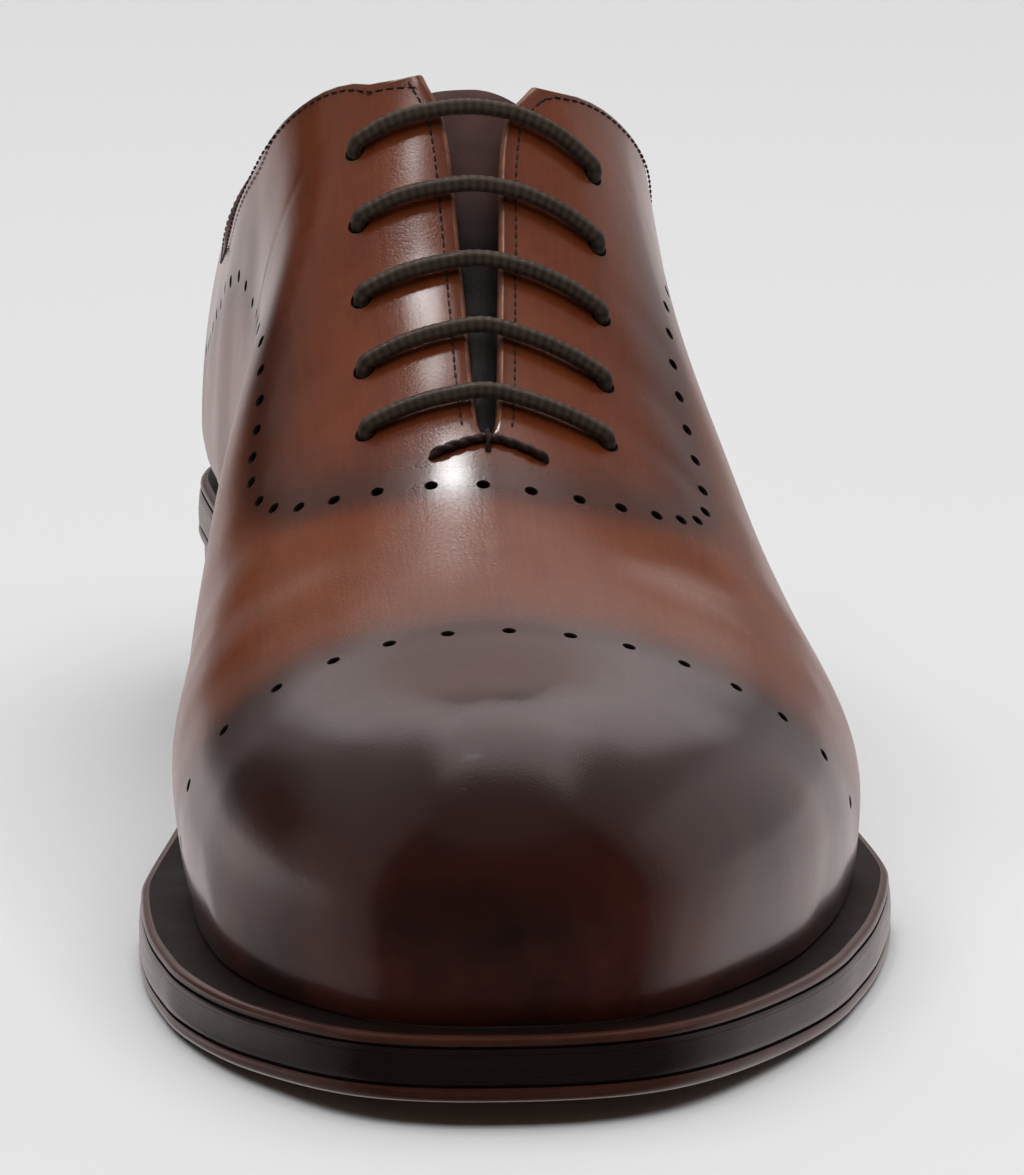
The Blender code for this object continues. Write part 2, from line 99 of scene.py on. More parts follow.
# Eyelets and lace
BAR_ALONG = (125.2, 136.8, 148.4, 160.0, 171.6)
EYELET_REACH = 17.6
EYELET_RADIUS = 1.42
LACE_RADIUS = 1.2
LACE_LIFT = 1.6
LACE_DEPTH = 3.6
RETURN_REACH = 22.5
RETURN_TURN = 2.2
BAR_REACHES = (11.5, 6.0)
RIDGE_REACH = 0.01

# Tongue
TONGUE_FRONT = 100.0
TONGUE_BACK = 178.5
TONGUE_THICK = 1.8
TONGUE_THIN = 0.35
TONGUE_SKIVE = 1.6
TONGUE_FRONT_HALF = 14.0
TONGUE_BACK_HALF = 24.0
TONGUE_SEWN_DEPTH = WALL + 0.8
TONGUE_LACED_DEPTH = LACE_DEPTH + LACE_RADIUS + SEAT_GAP + 0.1
TONGUE_SEWN_END = 105.0
TONGUE_LACED_START = 120.0
# Painted shade on the tongue, full in front of the first along and gone behind the second
TONGUE_SHADE_END = 152.0
TONGUE_SHADE_START = 168.0

# Plan of the outsole before its ends are rounded
PLAN_COLUMNS = ("along", "centre", "half_width")
PLAN = (
    (0.0, -6.2, 41.4),
    (10.0, -5.7, 39.5),
    (20.0, -5.1, 39.8),
    (32.0, -4.5, 42.0),
    (45.0, -3.4, 45.0),
    (60.0, -2.1, 48.6),
    (80.0, -0.2, 52.3),
    (105.0, 2.2, 54.2),
    (116.0, 3.0, 53.0),
    (130.0, 3.5, 49.4),
    (150.0, 3.6, 43.2),
    (175.0, 3.8, 35.6),
    (200.0, 3.0, 32.6),
    (225.0, 1.6, 32.4),
    (250.0, 0.4, 33.8),
    (275.0, 0.0, 34.6),
    (300.0, 0.0, 34.6),
)

# How far the foot of the upper stands in from the edge of the outsole
LEDGE_COLUMNS = ("along", "medial", "lateral")
LEDGE = (
    (0.0, 7.0, 7.0),
    (40.0, 7.2, 6.4),
    (90.0, 7.5, 5.6),
    (125.0, 6.5, 5.0),
    (160.0, 4.5, 4.2),
    (200.0, 3.6, 3.6),
    (240.0, 3.4, 3.4),
    (300.0, 3.6, 3.6),
)

# Line of the ridge in plan
RIDGE_COLUMNS = ("along", "across")
RIDGE = (
    (40.0, -6.0),
    (80.0, -3.0),
    (122.0, -0.6),
    (178.0, 1.4),
    (225.0, 1.4),
    (262.0, 0.0),
)

# Sections of the last: height of the ridge, then for each side the height of the widest line,
# how far it bulges past the foot of the upper, and how full the curve up to the ridge is
SECTION_COLUMNS = (
    "along", "ridge", "wide_medial", "wide_lateral",
    "bulge_medial", "bulge_lateral", "full_medial", "full_lateral",
)
SECTIONS = (
    (0.0, 50.0, 26.0, 26.0, 1.2, 1.2, 1.95, 1.95),
    (40.0, 50.8, 25.0, 25.0, 1.6, 1.6, 2.00, 2.00),
    (75.0, 53.6, 25.0, 23.0, 2.2, 1.4, 2.05, 1.78),
    (100.0, 62.0, 26.0, 21.0, 2.3, 1.0, 1.95, 1.47),
    (122.0, 72.5, 29.0, 22.5, 3.0, 0.4, 1.80, 1.36),
    (137.0, 82.0, 34.0, 26.0, 4.6, 0.5, 1.82, 1.40),
    (150.0, 90.8, 38.6, 30.0, 6.0, 1.2, 2.12, 1.60),
    (164.0, 102.0, 42.8, 35.0, 6.5, 1.4, 2.42, 1.78),
    (178.0, 113.8, 45.8, 40.0, 6.5, 1.4, 2.62, 2.02),
    (187.0, 122.4, 46.8, 42.0, 6.6, 1.6, 2.74, 2.14),
    (200.0, 134.0, 47.6, 45.0, 7.1, 2.0, 2.95, 2.40),
    (213.0, 133.0, 47.0, 45.0, 7.8, 2.6, 2.95, 2.50),
    (226.0, 129.0, 46.0, 45.0, 6.8, 2.6, 2.60, 2.36),
    (262.0, 111.0, 43.0, 44.0, 3.2, 2.9, 1.80, 1.92),
    (300.0, 114.0, 46.0, 46.0, 3.4, 3.4, 1.95, 1.95),
)

# Half the throat's gap on each side
GAP_COLUMNS = ("along", "medial", "lateral")
GAP = (
    (116.0, 0.0, 0.0),
    (122.0, 1.4, 1.4),
    (150.0, 2.8, 2.8),
    (171.0, 4.3, 4.5),
    (178.0, 7.2, 9.0),
)

# Height of the collar's edge on each side
COLLAR_COLUMNS = ("along", "medial", "lateral")
COLLAR = (
    (178.0, 112.6, 111.6),
    (182.0, 112.2, 109.6),
    (187.0, 109.2, 105.9),
    (200.0, 98.4, 95.2),
    (213.0, 88.5, 85.5),
    (226.0, 80.2, 78.2),
    (242.0, 74.6, 73.8),
    (262.0, 73.4, 73.4),
    (282.0, 80.8, 80.8),
    (300.0, 87.5, 87.5),
)

# Punched line of the toe cap from the medial to the lateral side, as across and along
CAP_LINE = (
    (-78.0, 93.0),
    (-65.5, 84.0),
    (-53.7, 77.2),
    (-42.9, 73.4),
    (-32.7, 71.0),
    (-23.5, 69.2),
    (-15.1, 68.0),
    (-6.6, 67.0),
    (2.2, 66.6),
    (10.9, 67.4),
    (19.4, 68.4),
    (27.7, 69.4),
    (36.0, 70.6),
    (44.3, 72.4),
    (53.6, 76.0),
    (64.5, 83.0),
    (76.9, 92.0),
)

# Punched line round the facings, from the medial turn to the lateral turn, as across and along
FACING_LINE = (
    (-39.9, 154.0),
    (-39.4, 148.4),
    (-40.0, 144.0),
    (-41.0, 140.2),
    (-41.0, 135.6),
    (-38.6, 129.4),
    (-35.0, 124.0),
    (-29.7, 118.4),
    (-23.5, 114.2),
    (-16.6, 111.2),
    (-8.5, 108.8),
    (-0.9, 107.4),
    (6.1, 107.4),
    (13.4, 108.8),
    (20.0, 111.0),
    (26.0, 113.8),
    (30.5, 116.8),
    (33.9, 120.2),
    (36.2, 124.8),
    (36.9, 130.4),
    (36.7, 136.6),
    (36.0, 142.0),
    (35.3, 147.4),
    (35.3, 153.2),
)

# The same line further back, up the facings and down the quarters, as along and height
QUARTER_LINE_COLUMNS = ("along", "medial", "lateral")
QUARTER_LINE = (
    (160.0, 77.6, 78.1),
    (168.0, 78.2, 81.0),
    (178.0, 77.8, 81.6),
    (185.0, 77.6, 80.8),
    (190.0, 78.2, 79.6),
    (197.0, 79.2, 77.0),
    (205.0, 78.2, 73.6),
    (212.0, 75.8, 70.2),
    (222.0, 72.0, 65.4),
    (240.0, 64.0, 58.0),
    (260.0, 56.0, 52.0),
    (280.0, 50.4, 48.8),
    (300.0, 48.0, 48.0),
)

# Edges of outsole and welt from the bottom up: height, how far the edge steps in, and the finish above
OUTSOLE_EDGE = (
    (0.0, 0.9, "lip"),
    (0.3, 0.4, "lip"),
    (0.8, 0.1, "lip"),
    (1.3, 0.0, "lip"),
    (1.8, 0.05, "lip"),
    (2.05, 0.2, "groove"),
    (2.15, 0.55, "groove"),
    (2.4, 0.55, "groove"),
    (2.5, 0.2, "band"),
    (2.7, 0.05, "band"),
    (3.6, 0.0, "band"),
    (4.6, 0.0, "band"),
    (5.6, 0.06, "band"),
    (OUTSOLE_THICK + 0.25, 0.16, "groove"),
)
WELT_EDGE = (
    (0.0, 0.16, "band"),
    (0.5, 0.24, "band"),
    (0.75, 0.4, "groove"),
    (0.85, 0.75, "groove"),
    (1.1, 0.75, "lip"),
    (1.2, 0.45, "lip"),
    (1.5, 0.32, "lip"),
    (1.9, 0.36, "lip"),
    (2.25, 0.6, "lip"),
    (2.48, 1.0, "lip"),
    (WELT_THICK, 1.5, "top"),
)

# Soft troughs and ridges in the leather.
# Columns: across and along of both ends, depth (a ridge is negative) and half width
CREASES = (
    (-24.0, 101.0, -52.0, 112.0, 0.28, 5.0),
    (22.0, 99.0, 50.0, 110.0, 0.30, 5.0),
    (-30.0, 93.0, -54.0, 99.0, -0.22, 5.0),
    (28.0, 92.0, 52.0, 98.0, -0.22, 5.0),
    (-64.0, 150.0, -58.0, 196.0, 0.45, 9.0),
    (62.0, 150.0, 58.0, 196.0, 0.40, 9.0),
    (-52.0, 208.0, -84.0, 232.0, 0.35, 7.0),
    (52.0, 208.0, 84.0, 232.0, 0.35, 7.0),
    (-22.0, 131.0, -34.0, 130.0, 0.20, 2.6),
    (22.0, 131.0, 33.0, 130.0, 0.20, 2.6),
    (-22.0, 142.6, -33.0, 142.0, 0.18, 2.6),
    (22.0, 142.6, 32.0, 142.0, 0.18, 2.6),
    (-24.0, 154.2, -34.0, 154.0, 0.18, 2.6),
    (23.0, 154.2, 32.0, 154.0, 0.18, 2.6),
)

# Mesh of the upper: rows on the wall, over the arch and round the open edge
WALL_ROWS = 8
ARCH_ROWS = 48
RIM_ROWS = 6
RIM_BULGE = 0.7
SHARP_ANGLE = 38.0
INSIDE_SHOE = (0.0, 150.0, 45.0)
BEHIND_SHOE = 400.0
LINE_STEP = 1.0

# Order of the upper's finishes
SKIN = 0
LINING = 1
BEAD = 2
COLLAR_FOLD = 3
COLLAR_FOLD_START = THROAT_BACK + 0.5

# Holes: profiles of the punch and the borer, as radius and height over the leather
QUARTER_PUNCH_STEP = 7.2
PUNCH_RADIUS = 0.82
PUNCH_DEPTH = 1.2
PUNCH_BEVEL = 0.24
PUNCH_SIDES = 14
PUNCH_PROFILE = (
    (PUNCH_RADIUS, -PUNCH_DEPTH),
    (PUNCH_RADIUS, -PUNCH_BEVEL),
    (PUNCH_RADIUS + PUNCH_BEVEL, 0.05),
    (PUNCH_RADIUS + PUNCH_BEVEL, 1.5),
)
EYELET_BEVEL = 0.34
EYELET_SIDES = 18
EYELET_PROFILE = (
    (EYELET_RADIUS, -5.0),
    (EYELET_RADIUS, -EYELET_BEVEL),
    (EYELET_RADIUS + 0.4 * EYELET_BEVEL, -0.4 * EYELET_BEVEL),
    (EYELET_RADIUS + EYELET_BEVEL, 0.05),
    (EYELET_RADIUS + EYELET_BEVEL, 2.0),
)

# Burnishing: its strength and how far it fades from the cap, the facing line, the rim and the foot
BURNISH_CAP = 0.85
BURNISH_CAP_WIDTH = 8.0
BURNISH_FACING = 0.80
BURNISH_FACING_WIDTH = 9.0
BURNISH_QUARTER_WIDTH = 4.5
BURNISH_RIM = 0.45
BURNISH_RIM_WIDTH = 2.0
BURNISH_FOOT = 0.85
BURNISH_FOOT_WIDTH = 6.0
BURNISH_HEEL = 0.75
BURNISH_HEEL_FADE = (236.0, 288.0)

# Masks: where the cap, the painted sheen on its top, the facings and the low part of the upper (with a
# painted floor reflection on the cap) begin and end
CAP_FADE = (-3.0, 6.0)
SHEEN_ACROSS = -2.0
SHEEN_AHEAD = -12.0
SHEEN_HALF_WIDTH = 22.0
SHEEN_HALF_LENGTH = 24.0
SHEEN_FADE = (0.45, 1.15)
FACING_FADE = (-3.0, 3.0)
LOW_FADE = (6.0, 34.0)

# Stitches, and their rows as start, end and step along
STITCH_RADIUS = 0.19
STITCH_LENGTH = 1.25
STITCH_SPACING = 1.65
STITCH_LIFT = 0.02
STITCH_TAPER = 0.7
STITCH_TIP = 0.02
FACING_STITCH = 2.4
COLLAR_STITCH = 1.5
FACING_ROW = (THROAT_FRONT + 5.0, THROAT_BACK - 0.7, 0.5)
COLLAR_CORNER_ROW = (THROAT_BACK + 0.4, THROAT_BACK + 8.0, 0.2)
COLLAR_ROW = (THROAT_BACK + 8.0, LENGTH - 0.4, 1.0)
COLLAR_TURN_STEPS = 8
TONGUE_STITCH = 2.6
TONGUE_STITCH_END = 3.0

# Any direction that no cord starts in
ASKEW = (0.3, 0.2, 0.93)

# Braid of the lace, and how far the lace presses into the eyelets
LACE_SIDES = 24
LACE_STEP = 0.22
LACE_PRESS = 0.3
PLAIT_RELIEF = 0.16
PLAIT_PITCH = 2.6
PLAIT_COUNT = 3
PLAIT_LEVEL = 0.6

# The bar tack that holds the throat's foot, and the stitch across it, as across, along and lift
TACK_LIFT = 0.55
TACK_RADIUS = 0.62
TACK_RELIEF = 0.42 * TACK_RADIUS
TACK_PITCH = 2.3
TACK_STEP = 0.2
TACK_SIDES = 18
TACK = (
    (-8.5, 114.9, -0.9),
    (-7.6, 115.2, TACK_LIFT),
    (-4.0, 116.2, TACK_LIFT),
    (0.0, 116.8, TACK_LIFT),
    (4.0, 116.4, TACK_LIFT),
    (7.8, 115.4, TACK_LIFT),
    (8.7, 115.1, -0.9),
)
TACK_STITCH_RADIUS = 0.34
TACK_STITCH_SIDES = 12
TACK_STITCH = (
    (0.0, 114.4, -0.5),
    (0.0, 114.9, 0.25),
    (0.0, 116.8, TACK_LIFT + TACK_RADIUS + 0.1),
    (0.0, 118.4, 0.25),
    (0.0, 118.9, -0.7),
)

# Underside of the outsole: how far each loop lies in from the edge, and how much of the channel it shows
UNDER_ROWS = (
    (16.0, 0.0),
    (9.6, 0.0),
    (8.8, 1.0),
    (8.2, 0.0),
    (3.2, 0.0),
)

# Edge of the insole from the bottom up: how far it steps in, and its height
INSOLE_EDGE = (
    (0.0, 0.0),
    (0.0, INSOLE_THICK - 0.7),
    (0.25, INSOLE_THICK - 0.25),
    (0.8, INSOLE_THICK),
    (6.0, INSOLE_THICK),
)

# Heel: lifts, top piece from the bottom up as inset and height, and nails
BREAST_STEPS = 24
BREAST_CLEAR = 1.0
LIFT_COUNT = 4
LIFT_GROOVE = 0.22
STACK_ROUND = 0.15
STACK_ROUND_HEIGHT = 0.3
NAIL_CLEAR = 0.12
TOP_PIECE_EDGE = (
    (STACK_TAPER + TOP_PIECE_BEVEL + 0.3, NAIL_CLEAR),
    (STACK_TAPER + 0.5 * TOP_PIECE_BEVEL, 0.35 * TOP_PIECE_BEVEL + NAIL_CLEAR),
    (STACK_TAPER, TOP_PIECE_BEVEL + NAIL_CLEAR),
    (STACK_TAPER, TOP_PIECE_HEIGHT - 0.25),
    (STACK_TAPER + 0.2, TOP_PIECE_HEIGHT),
)
NAIL_INSET = 8.5
NAIL_SPACING = 13.0
NAIL_SIDES = 14
NAIL_PROFILE = (
    (1.1, -1.0),
    (1.1, 0.03),
    (0.8, 0.09),
    (0.3, 0.11),
)


def read_table(table, columns, name, along):
    """Value of one column at a distance along, on a smooth curve through the rows."""
    place = columns.index(name)
    if along <= table[0][0]:
        return table[0][place]
    if along >= table[-1][0]:
        return table[-1][place]
    row = max(i for i in range(len(table) - 1) if table[i][0] <= along)

    def slope(i):
        low = max(i - 1, 0)
        high = min(i + 1, len(table) - 1)
        return (table[high][place] - table[low][place]) / (table[high][0] - table[low][0])

    span = table[row + 1][0] - table[row][0]
    t = (along - table[row][0]) / span
    start = table[row][place]
    end = table[row + 1][place]
    rise = (2 * t ** 3 - 3 * t ** 2 + 1) * start + (3 * t ** 2 - 2 * t ** 3) * end
    lean = (t ** 3 - 2 * t ** 2 + t) * slope(row) + (t ** 3 - t ** 2) * slope(row + 1)
    return rise + span * lean


def side_name(side):
    return "medial" if side == MEDIAL else "lateral"


def smooth_step(low, high, value):
    t = np.clip((value - low) / (high - low), 0.0, 1.0)
    return t * t * (3 - 2 * t)


def larger(a, b, blend):
    return (a + b + math.hypot(a - b, blend)) / 2


def smaller(a, b, blend):
    return (a + b - math.hypot(a - b, blend)) / 2


def tread_height(along):
    """Height of the outsole's underside: toe spring, flat tread, arch and heel seat."""
    if along < TREAD_FRONT:
        return TOE_SPRING * ((TREAD_FRONT - along) / TREAD_FRONT) ** 2
    return HEEL_HEIGHT * float(smooth_step(TREAD_BACK, HEEL_BREAST, along))


def end_round(distance, radius, power):
    """Share of the width that is left at a distance from a round end."""
    if distance >= radius:
        return 1.0
    return (1 - (1 - distance / radius) ** power) ** (1 / power)


def plan_point(side, turn):
    """Point of the outsole's outline; turn runs from 0 at the toe to pi at the heel."""
    along = LENGTH * (1 - math.cos(turn)) / 2
    half = read_table(PLAN, PLAN_COLUMNS, "half_width", along)
    half *= end_round(along, TOE_ROUND, TOE_ROUND_POWER)
    half *= end_round(LENGTH - along, HEEL_ROUND, HEEL_ROUND_POWER)
    return Vector((read_table(PLAN, PLAN_COLUMNS, "centre", along) + side * half, along))


def outline_point(side, along, inset):
    """Point of the outline at a distance along, moved in from the edge."""
    turn = math.acos(1 - 2 * along / LENGTH)
    point = plan_point(side, turn)
    if along <= 0.0:
        return point + Vector((0.0, inset))
    if along >= LENGTH:
        return point - Vector((0.0, inset))
    before = plan_point(side, max(turn - TURN_STEP, 0.0))
    after = plan_point(side, min(turn + TURN_STEP, math.pi))
    tangent = after - before
    inward = Vector((-tangent.y, tangent.x)).normalized() * side
    return point + inward * inset


def even_inset(amount):
    return lambda side, along: amount


def ledge_inset(extra):
    return lambda side, along: read_table(LEDGE, LEDGE_COLUMNS, side_name(side), along) + extra


def even_steps(start, end, count):
    return [start + (end - start) * i / count for i in range(count)]


def stations():
    """Distances along for every section, closer together at the round ends."""
    toe_steps = 52
    ball_steps = 17
    throat_steps = 36
    quarter_steps = 46
    heel_steps = 30
    toe = [TREAD_FRONT * (1 - math.cos(math.pi / 2 * i / toe_steps)) for i in range(toe_steps)]
    ball = even_steps(TREAD_FRONT, THROAT_FRONT, ball_steps)
    throat = even_steps(THROAT_FRONT, THROAT_BACK, throat_steps)
    quarter = even_steps(THROAT_BACK, HEEL_POLE, quarter_steps)
    span = LENGTH - HEEL_POLE
    heel = [HEEL_POLE + span * math.sin(math.pi / 2 * i / heel_steps) for i in range(heel_steps)]
    return toe + ball + throat + quarter + heel + [LENGTH]


STATIONS = stations()
LAST_STATION = len(STATIONS) - 1
RING = [(LATERAL, i) for i in range(LAST_STATION + 1)]
RING += [(MEDIAL, i) for i in range(LAST_STATION - 1, 0, -1)]


def centre_shift():
    """Moves the middle of the outsole's box to x = 0."""
    edges = [outline_point(side, along, 0.0)[0] for side in (MEDIAL, LATERAL) for along in STATIONS]
    return -(max(edges) + min(edges)) / 2


SHIFT = Vector((centre_shift(), -LENGTH / 2, 0.0))


def in_metres(points):
    return (np.asarray(points, float).reshape(-1, 3) + np.array(SHIFT)) * METRES


def walk(points):
    """Distance walked along a line to each of its points."""
    return np.concatenate([[0.0], np.cumsum(np.linalg.norm(np.diff(points, axis=0), axis=1))])


def respaced(values, walked, step):
    """Rows of values at even steps of the distance walked."""
    count = max(int(round(walked[-1] / step)), 1)
    wanted = np.linspace(0.0, walked[-1], count + 1)
    return np.stack([np.interp(wanted, walked, column) for column in values.T], axis=1)


class Section:
    """Curve of the last on one side, from the foot of the upper to the ridge."""

    def __init__(self, side, along):
        label = side_name(side)
        foot = outline_point(side, along, ledge_inset(0.0)(side, along))
        ridge_along = smaller(larger(along, TOE_POLE, TOE_BLEND), HEEL_POLE, HEEL_BLEND)
        self.pole = Vector((read_table(RIDGE, RIDGE_COLUMNS, "across", ridge_along), ridge_along))
        self.ray = foot - self.pole
        self.radius = self.ray.length
        self.foot_z = tread_height(foot.y) + OUTSOLE_THICK + WELT_THICK + 2 * SEAT_GAP
        self.wide_z = read_table(SECTIONS, SECTION_COLUMNS, "wide_" + label, along)
        self.ridge_z = read_table(SECTIONS, SECTION_COLUMNS, "ridge", ridge_along)
        bulge = read_table(SECTIONS, SECTION_COLUMNS, "bulge_" + label, along)
        self.wide_share = 1 + bulge / self.radius
        self.full = read_table(SECTIONS, SECTION_COLUMNS, "full_" + label, along)

    def wall_point(self, t):
        """From the foot at t = 0 to the widest line at t = 1."""
        share = 1 + (self.wide_share - 1) * math.sin(math.pi / 2 * t)
        return self.place(share, self.foot_z + (self.wide_z - self.foot_z) * t)

    def arch_point(self, angle):
        """From the widest line at angle 0 to the ridge at pi / 2."""
        share = self.wide_share * max(math.cos(angle), 0.0) ** (2 / self.full)
        return self.place(share, self.wide_z + (self.ridge_z - self.wide_z) * math.sin(angle))

    def place(self, share, z):
        flat = self.pole + self.ray * share
        return Vector((flat.x, flat.y, z))

    def angle_at_reach(self, reach):
        """Angle of the arch where it lies this far from the ridge in plan."""
        share = reach / (self.radius * self.wide_share)
        return math.acos(min(share, 1.0) ** (self.full / 2))

    def angle_at_height(self, z):
        return math.asin(min((z - self.wide_z) / (self.ridge_z - self.wide_z), 1.0))


@functools.lru_cache(maxsize=None)
def skin_column(side, along):
    """Points of one section from the ridge down to the foot, with the distance to each."""
    arch_steps = 90
    wall_steps = 14
    crowding = 1.4
    part = Section(side, along)
    angles = [math.pi / 2 * (1 - (i / arch_steps) ** crowding) for i in range(arch_steps + 1)]
    column = [part.arch_point(angle) for angle in angles]
    column += [part.wall_point(1 - i / wall_steps) for i in range(1, wall_steps + 1)]
    points = np.array(column)
    return points, walk(points)


def on_skin(across, along):
    """Point of the leather this far from the ridge, and this far along."""
    side = LATERAL if across >= 0 else MEDIAL
    points, walked = skin_column(side, float(along))
    reach = abs(across)
    return np.array([np.interp(reach, walked, points[:, axis]) for axis in range(3)])


def skin_normal(across, along):
    """Outward direction of the leather there."""
    forward = on_skin(across, along + SLOPE_STEP) - on_skin(across, along - SLOPE_STEP)
    outward = on_skin(across + SLOPE_STEP, along) - on_skin(across - SLOPE_STEP, along)
    normal = np.cross(outward, forward)
    return normal / np.linalg.norm(normal)


def over_skin(across, along, lift):
    return on_skin(across, along) + skin_normal(across, along) * lift


def across_at_height(side, along, height):
    """How far from the ridge the leather comes down to a height."""
    points, walked = skin_column(side, float(along))
    return side * float(np.interp(-height, -points[:, 2], walked))


def across_at_reach(side, along, reach):
    """How far from the ridge over the leather, for a distance from the ridge in plan."""
    points, walked = skin_column(side, float(along))
    plan = np.linalg.norm(points[:, :2] - points[0, :2], axis=1)
    widest = int(np.argmax(plan))
    return side * float(np.interp(reach, plan[:widest], walked[:widest]))


def gap_at(side, along):
    return read_table(GAP, GAP_COLUMNS, side_name(side), along)


def collar_at(side, along):
    return read_table(COLLAR, COLLAR_COLUMNS, side_name(side), along)


class Value:
    """One output of a shader node; sums written with it add Math nodes."""

    def __init__(self, finish, socket):
        self.finish = finish
        self.socket = socket

    def __add__(self, other):
        return self.finish.maths("ADD", self, other)

    def __sub__(self, other):
        return self.finish.maths("SUBTRACT", self, other)

    def __mul__(self, other):
        return self.finish.maths("MULTIPLY", self, other)

    def __radd__(self, other):
        return self.finish.maths("ADD", other, self)

    def __rsub__(self, other):
        return self.finish.maths("SUBTRACT", other, self)

    def __rmul__(self, other):
        return self.finish.maths("MULTIPLY", other, self)


class Nodes:
    """A shader tree under construction."""

    def __init__(self, tree):
        self.tree = tree

    def node(self, kind, output, settings=None, sockets=None):
        """Any node: its settings first, then the values or links of its sockets."""
        made = self.tree.nodes.new(kind)
        for label, setting in (settings or {}).items():
            setattr(made, label, setting)
        for label, value in (sockets or {}).items():
            if isinstance(value, Value):
                self.tree.links.new(value.socket, made.inputs[label])
            else:
                made.inputs[label].default_value = value
        return Value(self, made.outputs[output])

    def maths(self, operation, first, second):
        return self.node("ShaderNodeMath", 0, {"operation": operation}, {0: first, 1: second})

    def clamped(self, value):
        return self.node("ShaderNodeClamp", 0, {}, {"Value": value})

    def ranged(self, value, low, high, start=0.0, end=1.0):
        """Value between low and high, spread from start to end without steps."""
        sockets = {"Value": value, "From Min": low, "From Max": high, "To Min": start, "To Max": end}
        return self.node("ShaderNodeMapRange", "Result", {"interpolation_type": "SMOOTHSTEP"}, sockets)

    def blended(self, share, first, second):
        """Two colours mixed by a share."""
        sockets = {0: share, 6: self.paint(first), 7: self.paint(second)}
        return self.node("ShaderNodeMix", 2, {"data_type": "RGBA"}, sockets)

    def paint(self, colour):
        return colour if isinstance(colour, Value) else (*colour, 1.0)


class Finish(Nodes):
    """A material with one main shader; its fixed numbers are set on the shader itself."""

    def __init__(self, name, **fixed):
        self.material = bpy.data.materials.new(name)
        self.material.use_nodes = True
        super().__init__(self.material.node_tree)
        self.shader = self.tree.nodes["Principled BSDF"]
        for label, number in fixed.items():
            socket = label.replace("_", " ").title().replace("Ior", "IOR")
            self.shader.inputs[socket].default_value = number

    def place(self):
        """Object coordinates in metres."""
        return self.node("ShaderNodeTexCoord", "Object")

    def stretched(self, scale, turn=(0.0, 0.0, 0.0)):
        """Object coordinates, scaled and turned."""
        sockets = {"Vector": self.place(), "Scale": scale, "Rotation": turn}
        return self.node("ShaderNodeMapping", "Vector", {}, sockets)

    def noise(self, vector, scale, detail=2.0, rough=0.5):
        sockets = {"Vector": vector, "Scale": scale, "Detail": detail, "Roughness": rough}
        return self.node("ShaderNodeTexNoise", "Fac", {}, sockets)

    def cells(self, vector, scale):
        """Distance to the nearest of many scattered points."""
        return self.node("ShaderNodeTexVoronoi", "Distance", {}, {"Vector": vector, "Scale": scale})

    def mask(self, name):
        """A mask that the piece carries on its points."""
        return self.node("ShaderNodeAttribute", "Fac", {"attribute_name": name})

    def colour(self, value):
        self.tree.links.new(value.socket, self.shader.inputs["Base Color"])

    def roughness(self, value):
        self.tree.links.new(value.socket, self.shader.inputs["Roughness"])

    def coat(self, value):
        self.tree.links.new(value.socket, self.shader.inputs["Coat Weight"])

    def relief(self, height, depth):
        """Bump of a height from 0 to 1, this many millimetres deep."""
        sockets = {"Height": height, "Distance": depth * METRES, "Strength": 1.0}
        normal = self.node("ShaderNodeBump", "Normal", {}, sockets)
        self.tree.links.new(normal.socket, self.shader.inputs["Normal"])


# Colours of the leathers, threads and edges
CARAMEL = (0.205, 0.053, 0.015)
CARAMEL_DEEP = (0.130, 0.028, 0.009)
FACING_BROWN = (0.188, 0.043, 0.013)
FACING_DEEP = (0.110, 0.024, 0.009)
BURNISH = (0.034, 0.0095, 0.0062)
CAP_BROWN = (0.021, 0.0058, 0.0042)
# Painted reflection of the floor: reddish brown low on the cap
CAP_FLOOR_REFLECTION = (0.080, 0.0150, 0.0080)
# Painted sheen: pale mauve that stands in for the room's reflection on the top of the cap
CAP_PAINTED_SHEEN = (0.128, 0.0810, 0.0750)
# Painted shade inside the punched holes: near black and dark brown
PUNCH_SHADOW_BLACK = (0.004, 0.0020, 0.0015)
PUNCH_SHADOW_BROWN = (0.012, 0.0050, 0.0030)
LINING_TAN = (0.300, 0.165, 0.085)
LINING_WORN = (0.225, 0.115, 0.056)
# Painted shade of the tongue, where it lies under the facings
TONGUE_PAINTED_SHADE = (0.006, 0.0030, 0.0028)
TONGUE_DARK = (0.038, 0.0155, 0.0135)
TONGUE_WORN = (0.078, 0.0330, 0.0280)
BEAD_TAN = (0.230, 0.095, 0.050)
BEAD_DARK = (0.085, 0.026, 0.013)
COLLAR_DARK = (0.022, 0.0080, 0.0060)
LACE_DARK = (0.028, 0.0190, 0.0140)
LACE_LIGHT = (0.105, 0.074, 0.053)
THREAD_DARK = (0.014, 0.0070, 0.0055)
THREAD_LIGHT = (0.0364, 0.0182, 0.0143)
EDGE_BLACK = (0.010, 0.0058, 0.0050)
EDGE_BROWN = (0.020, 0.0098, 0.0075)
LEDGE_BLACK = (0.007, 0.0045, 0.0040)
LEDGE_BROWN = (0.017, 0.0090, 0.0070)
LIP_RED = (0.080, 0.0230, 0.0120)
LIP_DARK = (0.036, 0.0115, 0.0075)
SOLE_TAN = (0.235, 0.120, 0.058)
SOLE_TAN_DARK = (0.150, 0.070, 0.032)
RUBBER_BLACK = (0.014, 0.0125, 0.012)
RUBBER_GREY = (0.026, 0.024, 0.023)
NAIL_STEEL = (0.42, 0.40, 0.37)
NAIL_WORN = (0.252, 0.240, 0.222)
FLOOR_PALE = (0.835, 0.850, 0.857)
FLOOR_SHADE = (0.810, 0.8245, 0.8313)


